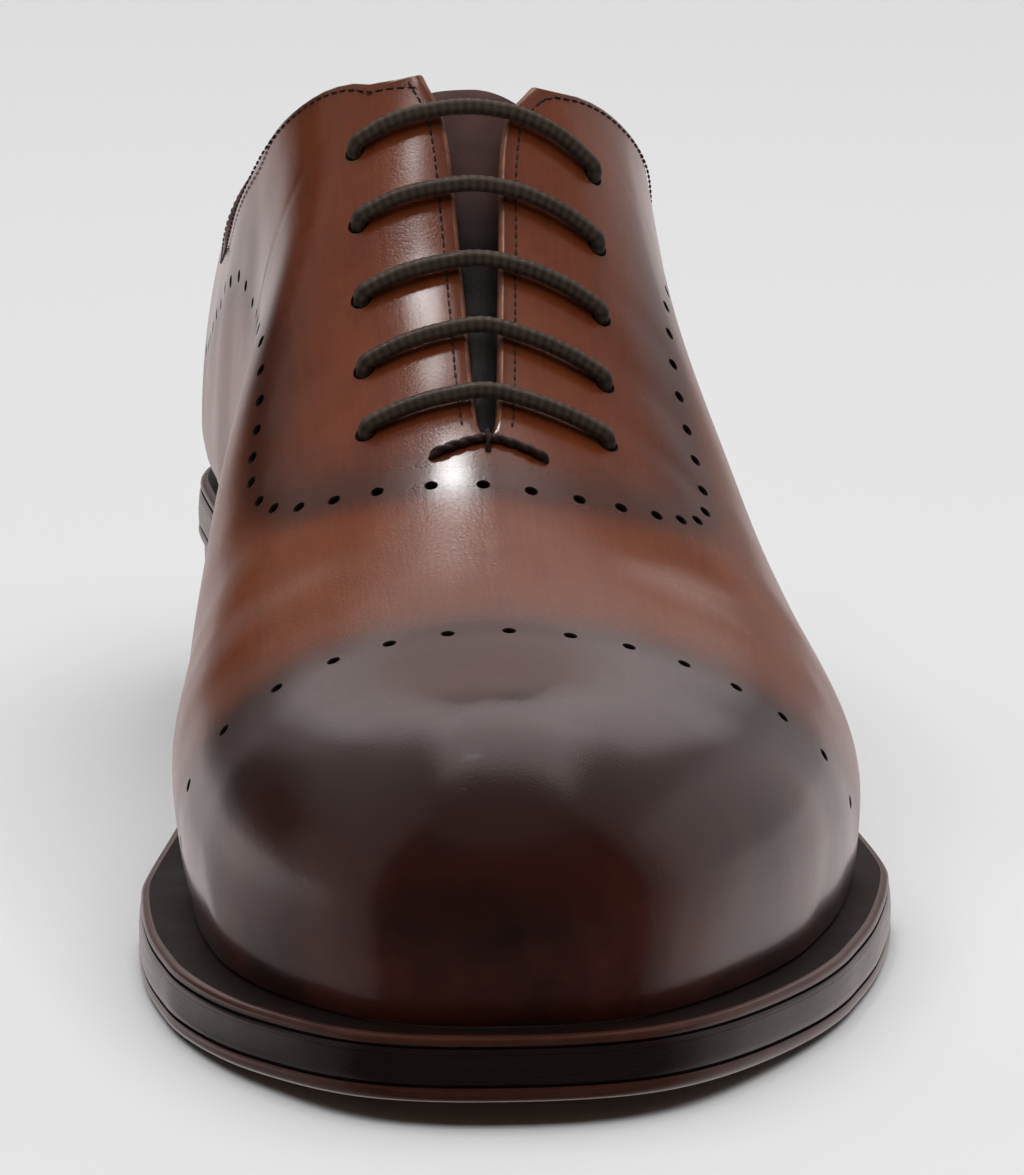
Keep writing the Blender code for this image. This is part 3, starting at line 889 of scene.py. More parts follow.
def burnished_leather():
    """Patina by hand: streaked caramel, dark along the punched lines, near black on the cap, with a painted
    sheen on the cap's top and a painted floor reflection low on the cap.
    """
    made = Finish("upper_leather", coat_roughness=0.11, specular_ior_level=0.42)
    burnish = made.mask("burnish")
    cap = made.mask("cap")
    facing = made.mask("facing")
    low = made.mask("low")
    bloom = made.mask("bloom")
    brush = made.noise(made.stretched((900.0, 60.0, 60.0)), 1.0, 5.0, 0.62)
    cloud = made.noise(made.place(), 42.0, 4.0, 0.6)
    mottle = made.noise(made.place(), 190.0, 3.0, 0.55)
    tone = made.clamped(0.5 + 0.8 * (brush - 0.5) + 1.3 * (cloud - 0.5) + 0.6 * (mottle - 0.5))
    vamp = made.blended(tone, CARAMEL_DEEP, CARAMEL)
    lyre = made.blended(tone, FACING_DEEP, FACING_BROWN)
    body = made.blended(facing, vamp, lyre)
    worn = made.clamped(burnish * (1.10 - 0.20 * brush) + 0.4 * burnish * (cloud - 0.5))
    body = made.blended(worn, body, BURNISH)
    # Painted reflection of the floor, low on the cap, in cloudy patches
    floor_reflection = made.clamped(low * made.ranged(cloud, 0.30, 0.68))
    tip = made.blended(floor_reflection, CAP_BROWN, CAP_FLOOR_REFLECTION)
    # Painted sheen on the top of the cap, mixed into its colour
    tip = made.blended(made.clamped(bloom * (0.6 + 0.4 * cloud)), tip, CAP_PAINTED_SHEEN)
    made.colour(made.blended(cap, body, tip))
    made.roughness(made.clamped(0.24 + 0.20 * bloom + 0.08 * (mottle - 0.5) + 0.08 * (brush - 0.5)))
    made.coat(made.clamped(0.20 + 0.32 * cap - 0.50 * bloom + 0.40 * facing + 0.2 * (cloud - 0.5)))
    grain = made.noise(made.place(), 2100.0, 2.0, 0.6)
    pores = made.ranged(made.cells(made.place(), 1500.0), 0.0, 0.55)
    lay = made.noise(made.stretched((1500.0, 130.0, 130.0)), 1.0, 2.0, 0.5)
    made.relief(0.60 * grain + 0.30 * pores + 0.4 * lay, 0.04)
    return made.material


def lining_leather():
    """Vegetable tanned calf inside the shoe, matt with soft cloudy wear."""
    made = Finish("insole_leather")
    cloud = made.noise(made.place(), 60.0, 4.0, 0.6)
    fine = made.noise(made.place(), 900.0, 2.0, 0.5)
    made.colour(made.blended(made.ranged(cloud, 0.3, 0.72), LINING_TAN, LINING_WORN))
    made.roughness(made.clamped(0.55 + 0.2 * (fine - 0.5)))
    made.relief(0.5 * fine + 0.5 * made.cells(made.place(), 1300.0), 0.05)
    return made.material


def punch_shade():
    """Inside of the punched holes: the raw edge of the leather, painted near black as shade."""
    made = Finish("punch_shade", roughness=0.85)
    fibre = made.noise(made.place(), 1600.0, 2.0, 0.6)
    made.colour(made.blended(fibre, PUNCH_SHADOW_BLACK, PUNCH_SHADOW_BROWN))
    return made.material


def bead_leather(name, light, dark):
    """Folded edge: the fold is rubbed lighter in short stretches."""
    made = Finish(name, coat_roughness=0.2)
    rub = made.noise(made.place(), 210.0, 3.0, 0.6)
    fine = made.noise(made.place(), 1500.0, 2.0, 0.5)
    made.colour(made.blended(made.ranged(rub, 0.32, 0.66), dark, light))
    made.roughness(made.clamped(0.36 + 0.25 * (fine - 0.5)))
    made.coat(made.clamped(0.3 + 0.4 * (rub - 0.5)))
    made.relief(fine, 0.03)
    return made.material


def tongue_leather():
    made = Finish("tongue_leather", coat_roughness=0.3, specular_ior_level=0.3)
    cloud = made.noise(made.place(), 95.0, 3.0, 0.6)
    grain = made.cells(made.place(), 2000.0)
    worn = made.blended(made.ranged(cloud, 0.3, 0.75), TONGUE_DARK, TONGUE_WORN)
    # Painted shade: near black towards the front of the tongue, under the facings
    made.colour(made.blended(made.mask("deep"), worn, TONGUE_PAINTED_SHADE))
    made.roughness(made.clamped(0.50 + 0.25 * (cloud - 0.5)))
    made.coat(made.clamped(0.08 + 0.2 * (cloud - 0.5)))
    made.relief(made.ranged(grain, 0.0, 0.6), 0.025)
    return made.material


def braided_lace():
    """Waxed round braid: plaits crossing at a slant, lighter on the crowns and darker between them."""
    made = Finish("lace_cotton")
    crown = made.mask("plait")
    fibre = made.noise(made.place(), 3200.0, 2.0, 0.7)
    cloud = made.noise(made.place(), 130.0, 2.0, 0.5)
    shade = made.clamped(0.75 * crown + 0.35 * (fibre - 0.5) + 0.3 * (cloud - 0.5))
    made.colour(made.blended(shade, LACE_DARK, LACE_LIGHT))
    made.roughness(made.clamped(0.62 - 0.12 * crown + 0.2 * (fibre - 0.5)))
    made.relief(fibre, 0.06)
    return made.material


def sewing_thread():
    made = Finish("sewing_thread")
    twist = made.noise(made.stretched((2500.0, 1100.0, 2500.0), (0.4, 0.0, 0.5)), 1.0, 2.0, 0.5)
    made.colour(made.blended(twist, THREAD_DARK, THREAD_LIGHT))
    made.roughness(made.clamped(0.5 + 0.2 * (twist - 0.5)))
    made.relief(twist, 0.05)
    return made.material


def waxed_edge(name, dark, light, rough, depth, wax):
    """Edge of the sole, dyed and ironed with wax, with fine lengthwise scratches."""
    made = Finish(name, coat_roughness=0.16, specular_ior_level=0.1 + 0.5 * wax)
    lay = made.noise(made.stretched((70.0, 70.0, 2600.0)), 1.0, 4.0, 0.6)
    cloud = made.noise(made.place(), 120.0, 3.0, 0.6)
    shade = made.clamped(0.5 + 1.3 * (lay - 0.5) + 1.2 * (cloud - 0.5))
    made.colour(made.blended(shade, dark, light))
    made.roughness(made.clamped(rough + 0.22 * (lay - 0.5) + 0.16 * (cloud - 0.5)))
    made.coat(made.clamped(wax * (0.75 + cloud - 0.5)))
    made.relief(0.6 * lay + 0.4 * made.noise(made.place(), 1400.0, 2.0, 0.5), depth)
    return made.material


def sole_underside():
    """Plain tanned sole leather with its closed channel seam and a few rubbed places."""
    made = Finish("sole_underside")
    cloud = made.noise(made.place(), 38.0, 5.0, 0.62)
    lay = made.noise(made.stretched((420.0, 70.0, 420.0)), 1.0, 3.0, 0.6)
    margin = made.mask("margin")
    seam = made.mask("channel")
    tan = made.blended(made.clamped(0.5 + 1.3 * (cloud - 0.5) + 0.9 * (lay - 0.5)), SOLE_TAN_DARK, SOLE_TAN)
    tan = made.blended(made.clamped(0.75 * seam), tan, EDGE_BROWN)
    made.colour(made.blended(margin, tan, EDGE_BROWN))
    made.roughness(made.clamped(0.42 + 0.3 * (cloud - 0.5)))
    made.relief(0.5 * lay - seam + 0.3 * made.noise(made.place(), 1200.0, 2.0, 0.5), 0.12)
    return made.material


def heel_rubber():
    made = Finish("heel_rubber")
    cloud = made.noise(made.place(), 150.0, 3.0, 0.6)
    fine = made.noise(made.place(), 1800.0, 2.0, 0.6)
    made.colour(made.blended(made.ranged(cloud, 0.3, 0.75), RUBBER_BLACK, RUBBER_GREY))
    made.roughness(made.clamped(0.58 + 0.25 * (fine - 0.5)))
    made.relief(fine, 0.05)
    return made.material


def nail_steel():
    made = Finish("nail_steel", metallic=1.0)
    worn = made.noise(made.place(), 900.0, 3.0, 0.6)
    made.colour(made.blended(worn, NAIL_WORN, NAIL_STEEL))
    made.roughness(made.clamped(0.34 + 0.3 * (worn - 0.5)))
    return made.material


def link(name, mesh):
    made = bpy.data.objects.new(name, mesh)
    bpy.context.scene.collection.objects.link(made)
    return made


def outward_faces(mesh):
    work = bmesh.new()
    work.from_mesh(mesh)
    bmesh.ops.recalc_face_normals(work, faces=work.faces)
    work.to_mesh(mesh)
    work.free()


def smooth_shading(mesh):
    mesh.shade_smooth()
    mesh.set_sharp_from_angle(angle=math.radians(SHARP_ANGLE))


def new_piece(name, points, faces, finishes, face_finish=None):
    """Closed mesh piece from points in millimetres, with its faces turned outwards."""
    mesh = bpy.data.meshes.new(name)
    mesh.from_pydata(in_metres(points).tolist(), [], faces)
    for finish in finishes:
        mesh.materials.append(finish)
    if face_finish is not None:
        mesh.polygons.foreach_set("material_index", face_finish)
    outward_faces(mesh)
    smooth_shading(mesh)
    return link(name, mesh)


def set_mask(mesh, name, values):
    layer = mesh.attributes.new(name, "FLOAT", "POINT")
    layer.data.foreach_set("value", np.asarray(values, np.float32))


def seat(piece, slot, *nodes):
    """The piece rides on the shoe and stands for the named solids; the slot, a finish's name, is not used.
    """
    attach(piece, BODY)
    if nodes:
        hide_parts(*nodes)


def curve_through(knots, step):
    """Evenly spaced points on a smooth curve through the knots."""
    knots = np.asarray(knots, float)
    ends = np.vstack([2 * knots[0] - knots[1], knots, 2 * knots[-1] - knots[-2]])
    fine = 24
    points = []
    for i in range(len(knots) - 1):
        before, start, end, after = ends[i:i + 4]
        for t in np.arange(fine) / fine:
            bend = 2 * before - 5 * start + 4 * end - after
            twist = 3 * start - before - 3 * end + after
            points.append(0.5 * (2 * start + (end - before) * t + bend * t ** 2 + twist * t ** 3))
    points.append(knots[-1])
    points = np.array(points)
    return respaced(points, walk(points), step)


def skin_places(knots, step):
    """Places (across, along) on the leather, evenly spaced over it, on a curve through the knots."""
    dense = curve_through(knots, LINE_STEP / 2)
    points = np.array([on_skin(across, along) for across, along in dense])
    return respaced(dense, walk(points), step)


def quarter_knots(side):
    """The punched line on one quarter, from the facing back to the heel, as across and along."""
    label = side_name(side)
    knots = []
    for row in QUARTER_LINE:
        height = row[QUARTER_LINE_COLUMNS.index(label)]
        knots.append((across_at_height(side, row[0], height), row[0]))
    return knots


def facing_knots():
    return quarter_knots(MEDIAL)[::-1] + list(FACING_LINE) + quarter_knots(LATERAL)


def facing_punches():
    """One punch on every knot of the facing line, then evenly spaced ones down the quarters."""
    medial = skin_places([FACING_LINE[0]] + quarter_knots(MEDIAL), QUARTER_PUNCH_STEP)
    lateral = skin_places([FACING_LINE[-1]] + quarter_knots(LATERAL), QUARTER_PUNCH_STEP)
    return list(FACING_LINE) + list(medial[1:-1]) + list(lateral[1:-1])


def crease_depth(across, along):
    """How far the listed troughs and ridges sink the leather, for arrays of places."""
    depth = np.zeros_like(across)
    for start_across, start_along, end_across, end_along, deep, half in CREASES:
        run = np.array((end_across - start_across, end_along - start_along))
        from_start = np.stack([across - start_across, along - start_along], axis=-1)
        t = np.clip(from_start @ run / (run @ run), 0.0, 1.0)
        away = np.linalg.norm(from_start - t[..., None] * run, axis=-1)
        depth += deep * np.exp(-(away / half) ** 2)
    return depth


def top_angle(part, side, along):
    """Where the upper ends: at the ridge, beside the throat, or at the collar."""
    if along <= THROAT_FRONT:
        return math.pi / 2
    if along <= THROAT_BACK:
        return part.angle_at_reach(gap_at(side, along) + rim_bulge(side, along))
    return part.angle_at_height(collar_at(side, along) - RIM_BULGE)


def rim_bulge(side, along):
    if along <= THROAT_BACK:
        return min(RIM_BULGE, 0.5 * gap_at(side, along))
    return RIM_BULGE


def upper_grid():
    """Outer points of the upper for each place round the ring, from the foot up, and their across."""
    points = []
    across = []
    for side, i in RING:
        along = STATIONS[i]
        part = Section(side, along)
        end = top_angle(part, side, along)
        column = [part.wall_point(row / WALL_ROWS) for row in range(WALL_ROWS)]
        column += [part.arch_point(end * row / ARCH_ROWS) for row in range(ARCH_ROWS + 1)]
        points.append(column)
        across.append([across_at_height(side, along, point.z) for point in column])
    return np.array(points), np.array(across)


def shared_numbers(rows):
    """Number of each grid point; the two sides share the ridge in front of the throat."""
    number = -np.ones((len(RING), rows), int)
    ridge = {}
    count = 0
    for place, (_, i) in enumerate(RING):
        for row in range(rows):
            joined = row == rows - 1 and STATIONS[i] <= THROAT_FRONT
            if joined and i in ridge:
                number[place, row] = ridge[i]
                continue
            if joined:
                ridge[i] = count
            number[place, row] = count
            count += 1
    return number, count


def grid_faces(number, first_row, last_row, wanted=None):
    """Quads between neighbouring columns round the ring, without doubled corners."""
    faces = []
    for place in range(len(RING)):
        after = (place + 1) % len(RING)
        if wanted is not None and not (wanted(place) and wanted(after)):
            continue
        for row in range(first_row, last_row):
            low = (number[place, row], number[after, row])
            high = (number[after, row + 1], number[place, row + 1])
            corners = tuple(dict.fromkeys(int(corner) for corner in low + high))
            if len(corners) > 2:
                faces.append(corners)
    return faces


def grid_normals(points, faces):
    """Normal at each point, from the faces round it."""
    normals = np.zeros_like(points)
    for corners in faces:
        a, b, c = (points[corners[k]] for k in range(3))
        flat = np.cross(b - a, c - a)
        if len(corners) > 3:
            flat = flat + np.cross(c - a, points[corners[3]] - a)
        for corner in corners:
            normals[corner] += flat
    lengths = np.linalg.norm(normals, axis=1, keepdims=True)
    return normals / np.maximum(lengths, 1e-12)


def open_edge(place):
    return STATIONS[RING[place][1]] >= THROAT_FRONT


def rim_numbers(points, outer, normals, number, count):
    """Adds the rounded edge from the outer to the inner skin; gives the number of each of its points."""
    top = number.shape[1] - 1
    rim = -np.ones((len(RING), RIM_ROWS + 1), int)
    tip = {}
    for place, (side, i) in enumerate(RING):
        if not open_edge(place):
            continue
        edge = number[place, top]
        rim[place, 0] = edge
        rim[place, RIM_ROWS] = count + edge
        out = outer[edge] - outer[number[place, top - 1]]
        out = out - normals[edge] * (out @ normals[edge])
        out = out / np.linalg.norm(out) * rim_bulge(side, STATIONS[i])
        at_tip = STATIONS[i] <= THROAT_FRONT
        for k in range(1, RIM_ROWS):
            if at_tip and k in tip:
                rim[place, k] = tip[k]
                continue
            if at_tip:
                tip[k] = len(points)
            rim[place, k] = len(points)
            turn = math.pi * k / RIM_ROWS
            down = normals[edge] * WALL * (1 - math.cos(turn)) / 2
            points.append(outer[edge] - down + out * math.sin(turn))
    return rim


def build_upper_shell(finishes):
    """One wall of leather on the last with its lining, a rounded edge at throat and collar."""
    grid, across = upper_grid()
    rows = WALL_ROWS + ARCH_ROWS + 1
    number, count = shared_numbers(rows)
    outer = np.zeros((count, 3))
    outer[number] = grid
    outer_faces = grid_faces(number, 0, rows - 1)
    normals = grid_normals(outer, outer_faces)
    if np.sum(normals * (outer - np.array(INSIDE_SHOE))) < 0:
        normals = -normals
    along = np.array([STATIONS[i] for _, i in RING])[:, None] * np.ones(rows)
    sink = np.zeros(count)
    sink[number] = crease_depth(across, along)
    outer = outer - normals * sink[:, None]
    points = list(outer) + list(outer - normals * WALL)
    rim = rim_numbers(points, outer, normals, number, count)
    faces = list(outer_faces)
    face_finish = [SKIN] * len(outer_faces)
    for corners in outer_faces:
        faces.append(tuple(count + corner for corner in reversed(corners)))
        face_finish.append(LINING)
    for corners in grid_faces(rim, 0, RIM_ROWS, open_edge):
        faces.append(corners)
        middle = np.mean([points[corner] for corner in corners], axis=0)
        face_finish.append(COLLAR_FOLD if middle[1] > COLLAR_FOLD_START else BEAD)
    for place in range(len(RING)):
        low = int(number[place, 0])
        after = int(number[(place + 1) % len(RING), 0])
        faces.append((low, after, count + after, count + low))
        face_finish.append(LINING)
    shell = new_piece("upper_leather_skin", points, faces, finishes, face_finish)
    places = np.zeros((count, 2))
    places[number, 0] = across
    places[number, 1] = along
    return shell, outer, places


class NodeTree:
    """A geometry tree under construction, with named inputs."""

    def __init__(self, name, inputs):
        self.tree = bpy.data.node_groups.new(name, "GeometryNodeTree")
        self.tree.interface.new_socket("Geometry", in_out="INPUT", socket_type="NodeSocketGeometry")
        for label, kind in inputs:
            self.tree.interface.new_socket(label, in_out="INPUT", socket_type=kind)
        self.tree.interface.new_socket("Geometry", in_out="OUTPUT", socket_type="NodeSocketGeometry")
        self.given = self.tree.nodes.new("NodeGroupInput")
        self.result = self.tree.nodes.new("NodeGroupOutput")

    def node(self, kind, settings=None, sockets=None):
        made = self.tree.nodes.new(kind)
        for label, setting in (settings or {}).items():
            setattr(made, label, setting)
        for label, value in (sockets or {}).items():
            if isinstance(value, bpy.types.NodeSocket):
                self.tree.links.new(value, made.inputs[label])
            else:
                made.inputs[label].default_value = value
        return made

    def outward(self):
        """Turns the Z axis of a shape to the way that its place faces."""
        settings = {"data_type": "FLOAT_VECTOR"}
        faces = self.node("GeometryNodeInputNamedAttribute", settings, {"Name": "outward"})
        return self.turned("Z", faces.outputs[0])

    def turned(self, axis, direction):
        turn = self.node("FunctionNodeAlignRotationToVector", {"axis": axis}, {"Vector": direction})
        return turn.outputs[0]

    def object_shape(self, label):
        """Shape of the object that a named input gives."""
        found = self.node("GeometryNodeObjectInfo", {}, {"Object": self.given.outputs[label]})
        return found.outputs["Geometry"]

    def set_out(self, points, shape, turn):
        """One copy of a shape on each point, as a real mesh with the finish that is given."""
        copies = self.node("GeometryNodeInstanceOnPoints", {}, {
            "Points": points,
            "Instance": shape,
            "Rotation": turn,
        })
        real = self.node("GeometryNodeRealizeInstances", {}, {"Geometry": copies.outputs[0]})
        painted = self.node("GeometryNodeSetMaterial", {}, {
            "Geometry": real.outputs[0],
            "Material": self.given.outputs["Finish"],
        })
        return painted.outputs[0]

    def end(self, geometry):
        self.tree.links.new(geometry, self.result.inputs["Geometry"])

    def run_on(self, piece, values):
        """Sets the inputs on a modifier, and makes its result the piece's own plain mesh."""
        modifier = piece.modifiers.new(self.tree.name, "NODES")
        modifier.node_group = self.tree
        for item in self.tree.interface.items_tree:
            if item.in_out == "INPUT" and item.name in values:
                modifier[item.identifier] = values[item.name]
        graph = bpy.context.evaluated_depsgraph_get()
        mesh = bpy.data.meshes.new_from_object(piece.evaluated_get(graph))
        piece.modifiers.remove(modifier)
        old = piece.data
        piece.data = mesh
        bpy.data.meshes.remove(old)
        mesh.name = piece.name


def punching_tree():
    """Cuts a tool out of the leather at each place, square to the leather."""
    made = NodeTree("punching", (
        ("Places", "NodeSocketObject"),
        ("Tool", "NodeSocketObject"),
        ("Finish", "NodeSocketMaterial"),
    ))
    tools = made.set_out(made.object_shape("Places"), made.object_shape("Tool"), made.outward())
    cut = made.node("GeometryNodeMeshBoolean", {"operation": "DIFFERENCE", "solver": "EXACT"}, {
        "Mesh 1": made.given.outputs["Geometry"],
        "Mesh 2": tools,
    })
    made.end(cut.outputs[0])
    return made


def stitching_tree():
    """Lays one stitch after the other along a path."""
    made = NodeTree("stitching", (
        ("Spacing", "NodeSocketFloat"),
        ("Stitch", "NodeSocketObject"),
        ("Finish", "NodeSocketMaterial"),
    ))
    path = made.node("GeometryNodeMeshToCurve", {}, {"Mesh": made.given.outputs["Geometry"]})
    spaced = made.node("GeometryNodeCurveToPoints", {"mode": "LENGTH"}, {
        "Curve": path.outputs[0],
        "Length": made.given.outputs["Spacing"],
    })
    turn = made.turned("X", spaced.outputs["Tangent"])
    made.end(made.set_out(spaced.outputs["Points"], made.object_shape("Stitch"), turn))
    return made


def scattering_tree():
    """Sets one small shape on each place, square to the surface."""
    made = NodeTree("scattering", (
        ("Shape", "NodeSocketObject"),
        ("Finish", "NodeSocketMaterial"),
    ))
    made.end(made.set_out(made.given.outputs["Geometry"], made.object_shape("Shape"), made.outward()))
    return made


def turned_tool(name, profile, sides):
    """Small round shape about Z at the origin, closed at both ends, from (radius, height) rows."""
    points = [(0.0, 0.0, profile[0][1])]
    faces = []
    for radius, height in profile:
        for k in range(sides):
            turn = 2 * math.pi * k / sides
            points.append((radius * math.cos(turn), radius * math.sin(turn), height))
    points.append((0.0, 0.0, profile[-1][1]))
    for k in range(sides):
        after = (k + 1) % sides
        faces.append((0, 1 + after, 1 + k))
        for level in range(len(profile) - 1):
            low = 1 + level * sides
            faces.append((low + k, low + after, low + sides + after, low + sides + k))
        top = 1 + (len(profile) - 1) * sides
        faces.append((top + k, top + after, len(points) - 1))
    mesh = bpy.data.meshes.new(name)
    mesh.from_pydata((np.array(points) * METRES).tolist(), [], faces)
    outward_faces(mesh)
    smooth_shading(mesh)
    return link(name, mesh)


def place_cloud(name, points, normals):
    """Loose points with the direction in which each one faces."""
    mesh = bpy.data.meshes.new(name)
    mesh.from_pydata(in_metres(points).tolist(), [], [])
    layer = mesh.attributes.new("outward", "FLOAT_VECTOR", "POINT")
    layer.data.foreach_set("vector", np.asarray(normals, np.float32).ravel())
    return link(name, mesh)


def path_piece(name, paths):
    """Lines of points in millimetres, as edges for a tree to follow."""
    points = []
    edges = []
    for path in paths:
        first = len(points)
        points += [tuple(point) for point in path]
        edges += [(first + i, first + i + 1) for i in range(len(path) - 1)]
    mesh = bpy.data.meshes.new(name)
    mesh.from_pydata(in_metres(points).tolist(), edges, [])
    return link(name, mesh)


def discard(*helpers):
    for helper in helpers:
        mesh = helper.data
        bpy.data.objects.remove(helper, do_unlink=True)
        bpy.data.meshes.remove(mesh)


def cut_holes(shell, tree, rows, profile, sides, dark):
    """Cuts a round hole into the leather at each place (across, along)."""
    tool = turned_tool("punch", profile, sides)
    centres = [on_skin(across, along) for across, along in rows]
    facings = [skin_normal(across, along) for across, along in rows]
    places = place_cloud("punch_places", centres, facings)
    tree.run_on(shell, {"Places": places, "Tool": tool, "Finish": dark})
    discard(tool, places)


def punch_upper(shell, dark):
    """Punches both lines and the ten eyelets into the leather."""
    tree = punching_tree()
    cut_holes(shell, tree, list(CAP_LINE[1:-1]) + facing_punches(), PUNCH_PROFILE, PUNCH_SIDES, dark)
    eyelets = []
    for along in BAR_ALONG:
        for side in (MEDIAL, LATERAL):
            eyelets.append((across_at_reach(side, along, EYELET_REACH), along))
    cut_holes(shell, tree, eyelets, EYELET_PROFILE, EYELET_SIDES, dark)
    smooth_shading(shell.data)


def search_tree(points):
    tree = KDTree(len(points))
    for k, point in enumerate(points):
        tree.insert(point, k)
    tree.balance()
    return tree


def distance_to(points, line):
    """Distance from each point to a line of points."""
    tree = search_tree(line)
    return np.array([tree.find(point)[2] for point in points])


def skin_fields(points, outer, places):
    """Across and along of each point, from the nearest points of the grid."""
    neighbours = 3
    soften = 0.05
    tree = search_tree(outer)
    found = np.zeros((len(points), 2))
    for row, point in enumerate(points):
        near = tree.find_n(point, neighbours)
        weights = np.array([1.0 / (soften + away) for _, _, away in near])
        rows = np.array([places[k] for _, k, _ in near])
        found[row] = weights @ rows / weights.sum()
    return found


def inside_line(places, knots):
    """Which places (across, along) lie on the throat's side of a line that is open to the heel."""
    level = 1e-9
    corners = np.array(list(knots) + [(knots[-1][0], BEHIND_SHOE), (knots[0][0], BEHIND_SHOE)])
    inside = np.zeros(len(places), bool)
    for start, end in zip(corners, np.roll(corners, -1, axis=0)):
        spans = (start[1] > places[:, 1]) != (end[1] > places[:, 1])
        rise = end[1] - start[1]
        rise = rise if abs(rise) > level else level
        meets = start[0] + (end[0] - start[0]) * (places[:, 1] - start[1]) / rise
        inside ^= spans & (places[:, 0] < meets)
    return inside


def rim_line():
    """The edge of the leather round the throat and the collar."""
    line = []
    for side in (MEDIAL, LATERAL):
        for along in np.arange(THROAT_FRONT, THROAT_BACK, LINE_STEP):
            line.append(on_skin(across_at_reach(side, along, gap_at(side, along)), along))
        for along in np.arange(THROAT_BACK, LENGTH, LINE_STEP):
            line.append(on_skin(across_at_height(side, along, collar_at(side, along)), along))
    return line


def fading(strength, away, width):
    return strength * np.exp(-(away / width) ** 2)


def paint_upper(shell, outer, places):
    """Masks for the patina and the painted light: the polished cap, the burnished lines and edges, the
    facings, the painted sheen on the cap's top, and the low part that carries the cap's painted floor
    reflection.
    """
    mesh = shell.data
    points = np.zeros(len(mesh.vertices) * 3)
    mesh.vertices.foreach_get("co", points)
    points = points.reshape(-1, 3) / METRES - np.array(SHIFT)
    across, along = skin_fields(points, outer, places).T
    cap_places = skin_places(CAP_LINE, LINE_STEP)
    cap_away = distance_to(points, [on_skin(*place) for place in cap_places])
    ahead = along < np.interp(across, cap_places[:, 0], cap_places[:, 1])
    cap_away = np.where(ahead, -cap_away, cap_away)
    lyre_places = skin_places(facing_knots(), LINE_STEP)
    lyre_away = distance_to(points, [on_skin(*place) for place in lyre_places])
    lyre = inside_line(np.stack([across, along], axis=1), facing_knots())
    rim_away = distance_to(points, rim_line())
    foot = np.array([tread_height(y) for y in points[:, 1]]) + OUTSOLE_THICK + WELT_THICK
    height = points[:, 2] - foot
    cap = 1 - smooth_step(*CAP_FADE, cap_away)
    # Where the painted sheen on the cap's top lies: an oval round a point ahead of the cap line
    sheen_away = np.hypot(
        (across - SHEEN_ACROSS) / SHEEN_HALF_WIDTH,
        (cap_away - SHEEN_AHEAD) / SHEEN_HALF_LENGTH,
    )
    set_mask(mesh, "burnish", np.max([
        fading(BURNISH_CAP, np.maximum(cap_away, 0.0), BURNISH_CAP_WIDTH),
        fading(BURNISH_FACING, lyre_away, np.where(lyre, BURNISH_FACING_WIDTH, BURNISH_QUARTER_WIDTH)),
        fading(BURNISH_RIM, rim_away, BURNISH_RIM_WIDTH),
        fading(BURNISH_FOOT, height, BURNISH_FOOT_WIDTH),
        BURNISH_HEEL * smooth_step(*BURNISH_HEEL_FADE, points[:, 1]),
    ], axis=0))
    set_mask(mesh, "cap", cap)
    # Painted sheen on the cap's top; the same mask also roughens the leather and thins its coat there
    set_mask(mesh, "bloom", cap * (1 - smooth_step(*SHEEN_FADE, sheen_away)))
    set_mask(mesh, "facing", smooth_step(*FACING_FADE, np.where(lyre, lyre_away, -lyre_away)))
    # Low part of the upper, where the cap's painted floor reflection goes
    set_mask(mesh, "low", 1 - smooth_step(*LOW_FADE, height))


def stitch_shape():
    """One short stitch along X, thicker in its middle."""
    rows = 7
    sides = 8
    profile = []
    for i in range(rows + 1):
        turn = math.pi * i / rows
        reach = -STITCH_LENGTH / 2 * math.cos(turn)
        profile.append((max(STITCH_RADIUS * math.sin(turn) ** STITCH_TAPER, STITCH_TIP), reach))
    shape = turned_tool("stitch", profile, sides)
    for vertex in shape.data.vertices:
        vertex.co = (vertex.co.z, vertex.co.y, -vertex.co.x)
    return shape


def facing_stitch_place(side, along):
    return across_at_reach(side, along, gap_at(side, along) + FACING_STITCH), along


def collar_stitch_place(side, along):
    return across_at_height(side, along, collar_at(side, along) - COLLAR_STITCH), along


def facing_stitches(side):
    places = [facing_stitch_place(side, along) for along in np.arange(*FACING_ROW)]
    return [over_skin(across, along, STITCH_LIFT) for across, along in places]


def collar_stitches(side):
    """From the end of the facing's row round the corner and along the collar."""
    alongs = np.concatenate([np.arange(*COLLAR_CORNER_ROW), np.arange(*COLLAR_ROW)])
    places = [collar_stitch_place(side, along) for along in alongs]
    start = facing_stitch_place(side, THROAT_BACK - COLLAR_STITCH)
    turn = np.linspace(start, places[0], COLLAR_TURN_STEPS, endpoint=False)
    return [over_skin(across, along, STITCH_LIFT) for across, along in [*turn, *places]]


def sew(name, paths, thread):
    """Rows of stitches along paths in millimetres."""
    shape = stitch_shape()
    rows = path_piece(name, paths)
    values = {"Spacing": STITCH_SPACING * METRES, "Stitch": shape, "Finish": thread}
    stitching_tree().run_on(rows, values)
    smooth_shading(rows.data)
    discard(shape)
    seat(rows, "lace_cotton")


def build_stitches(thread):
    paths = []
    for side in (MEDIAL, LATERAL):
        paths.append(facing_stitches(side))
        paths.append(collar_stitches(side))
    sew("upper_stitches", paths, thread)


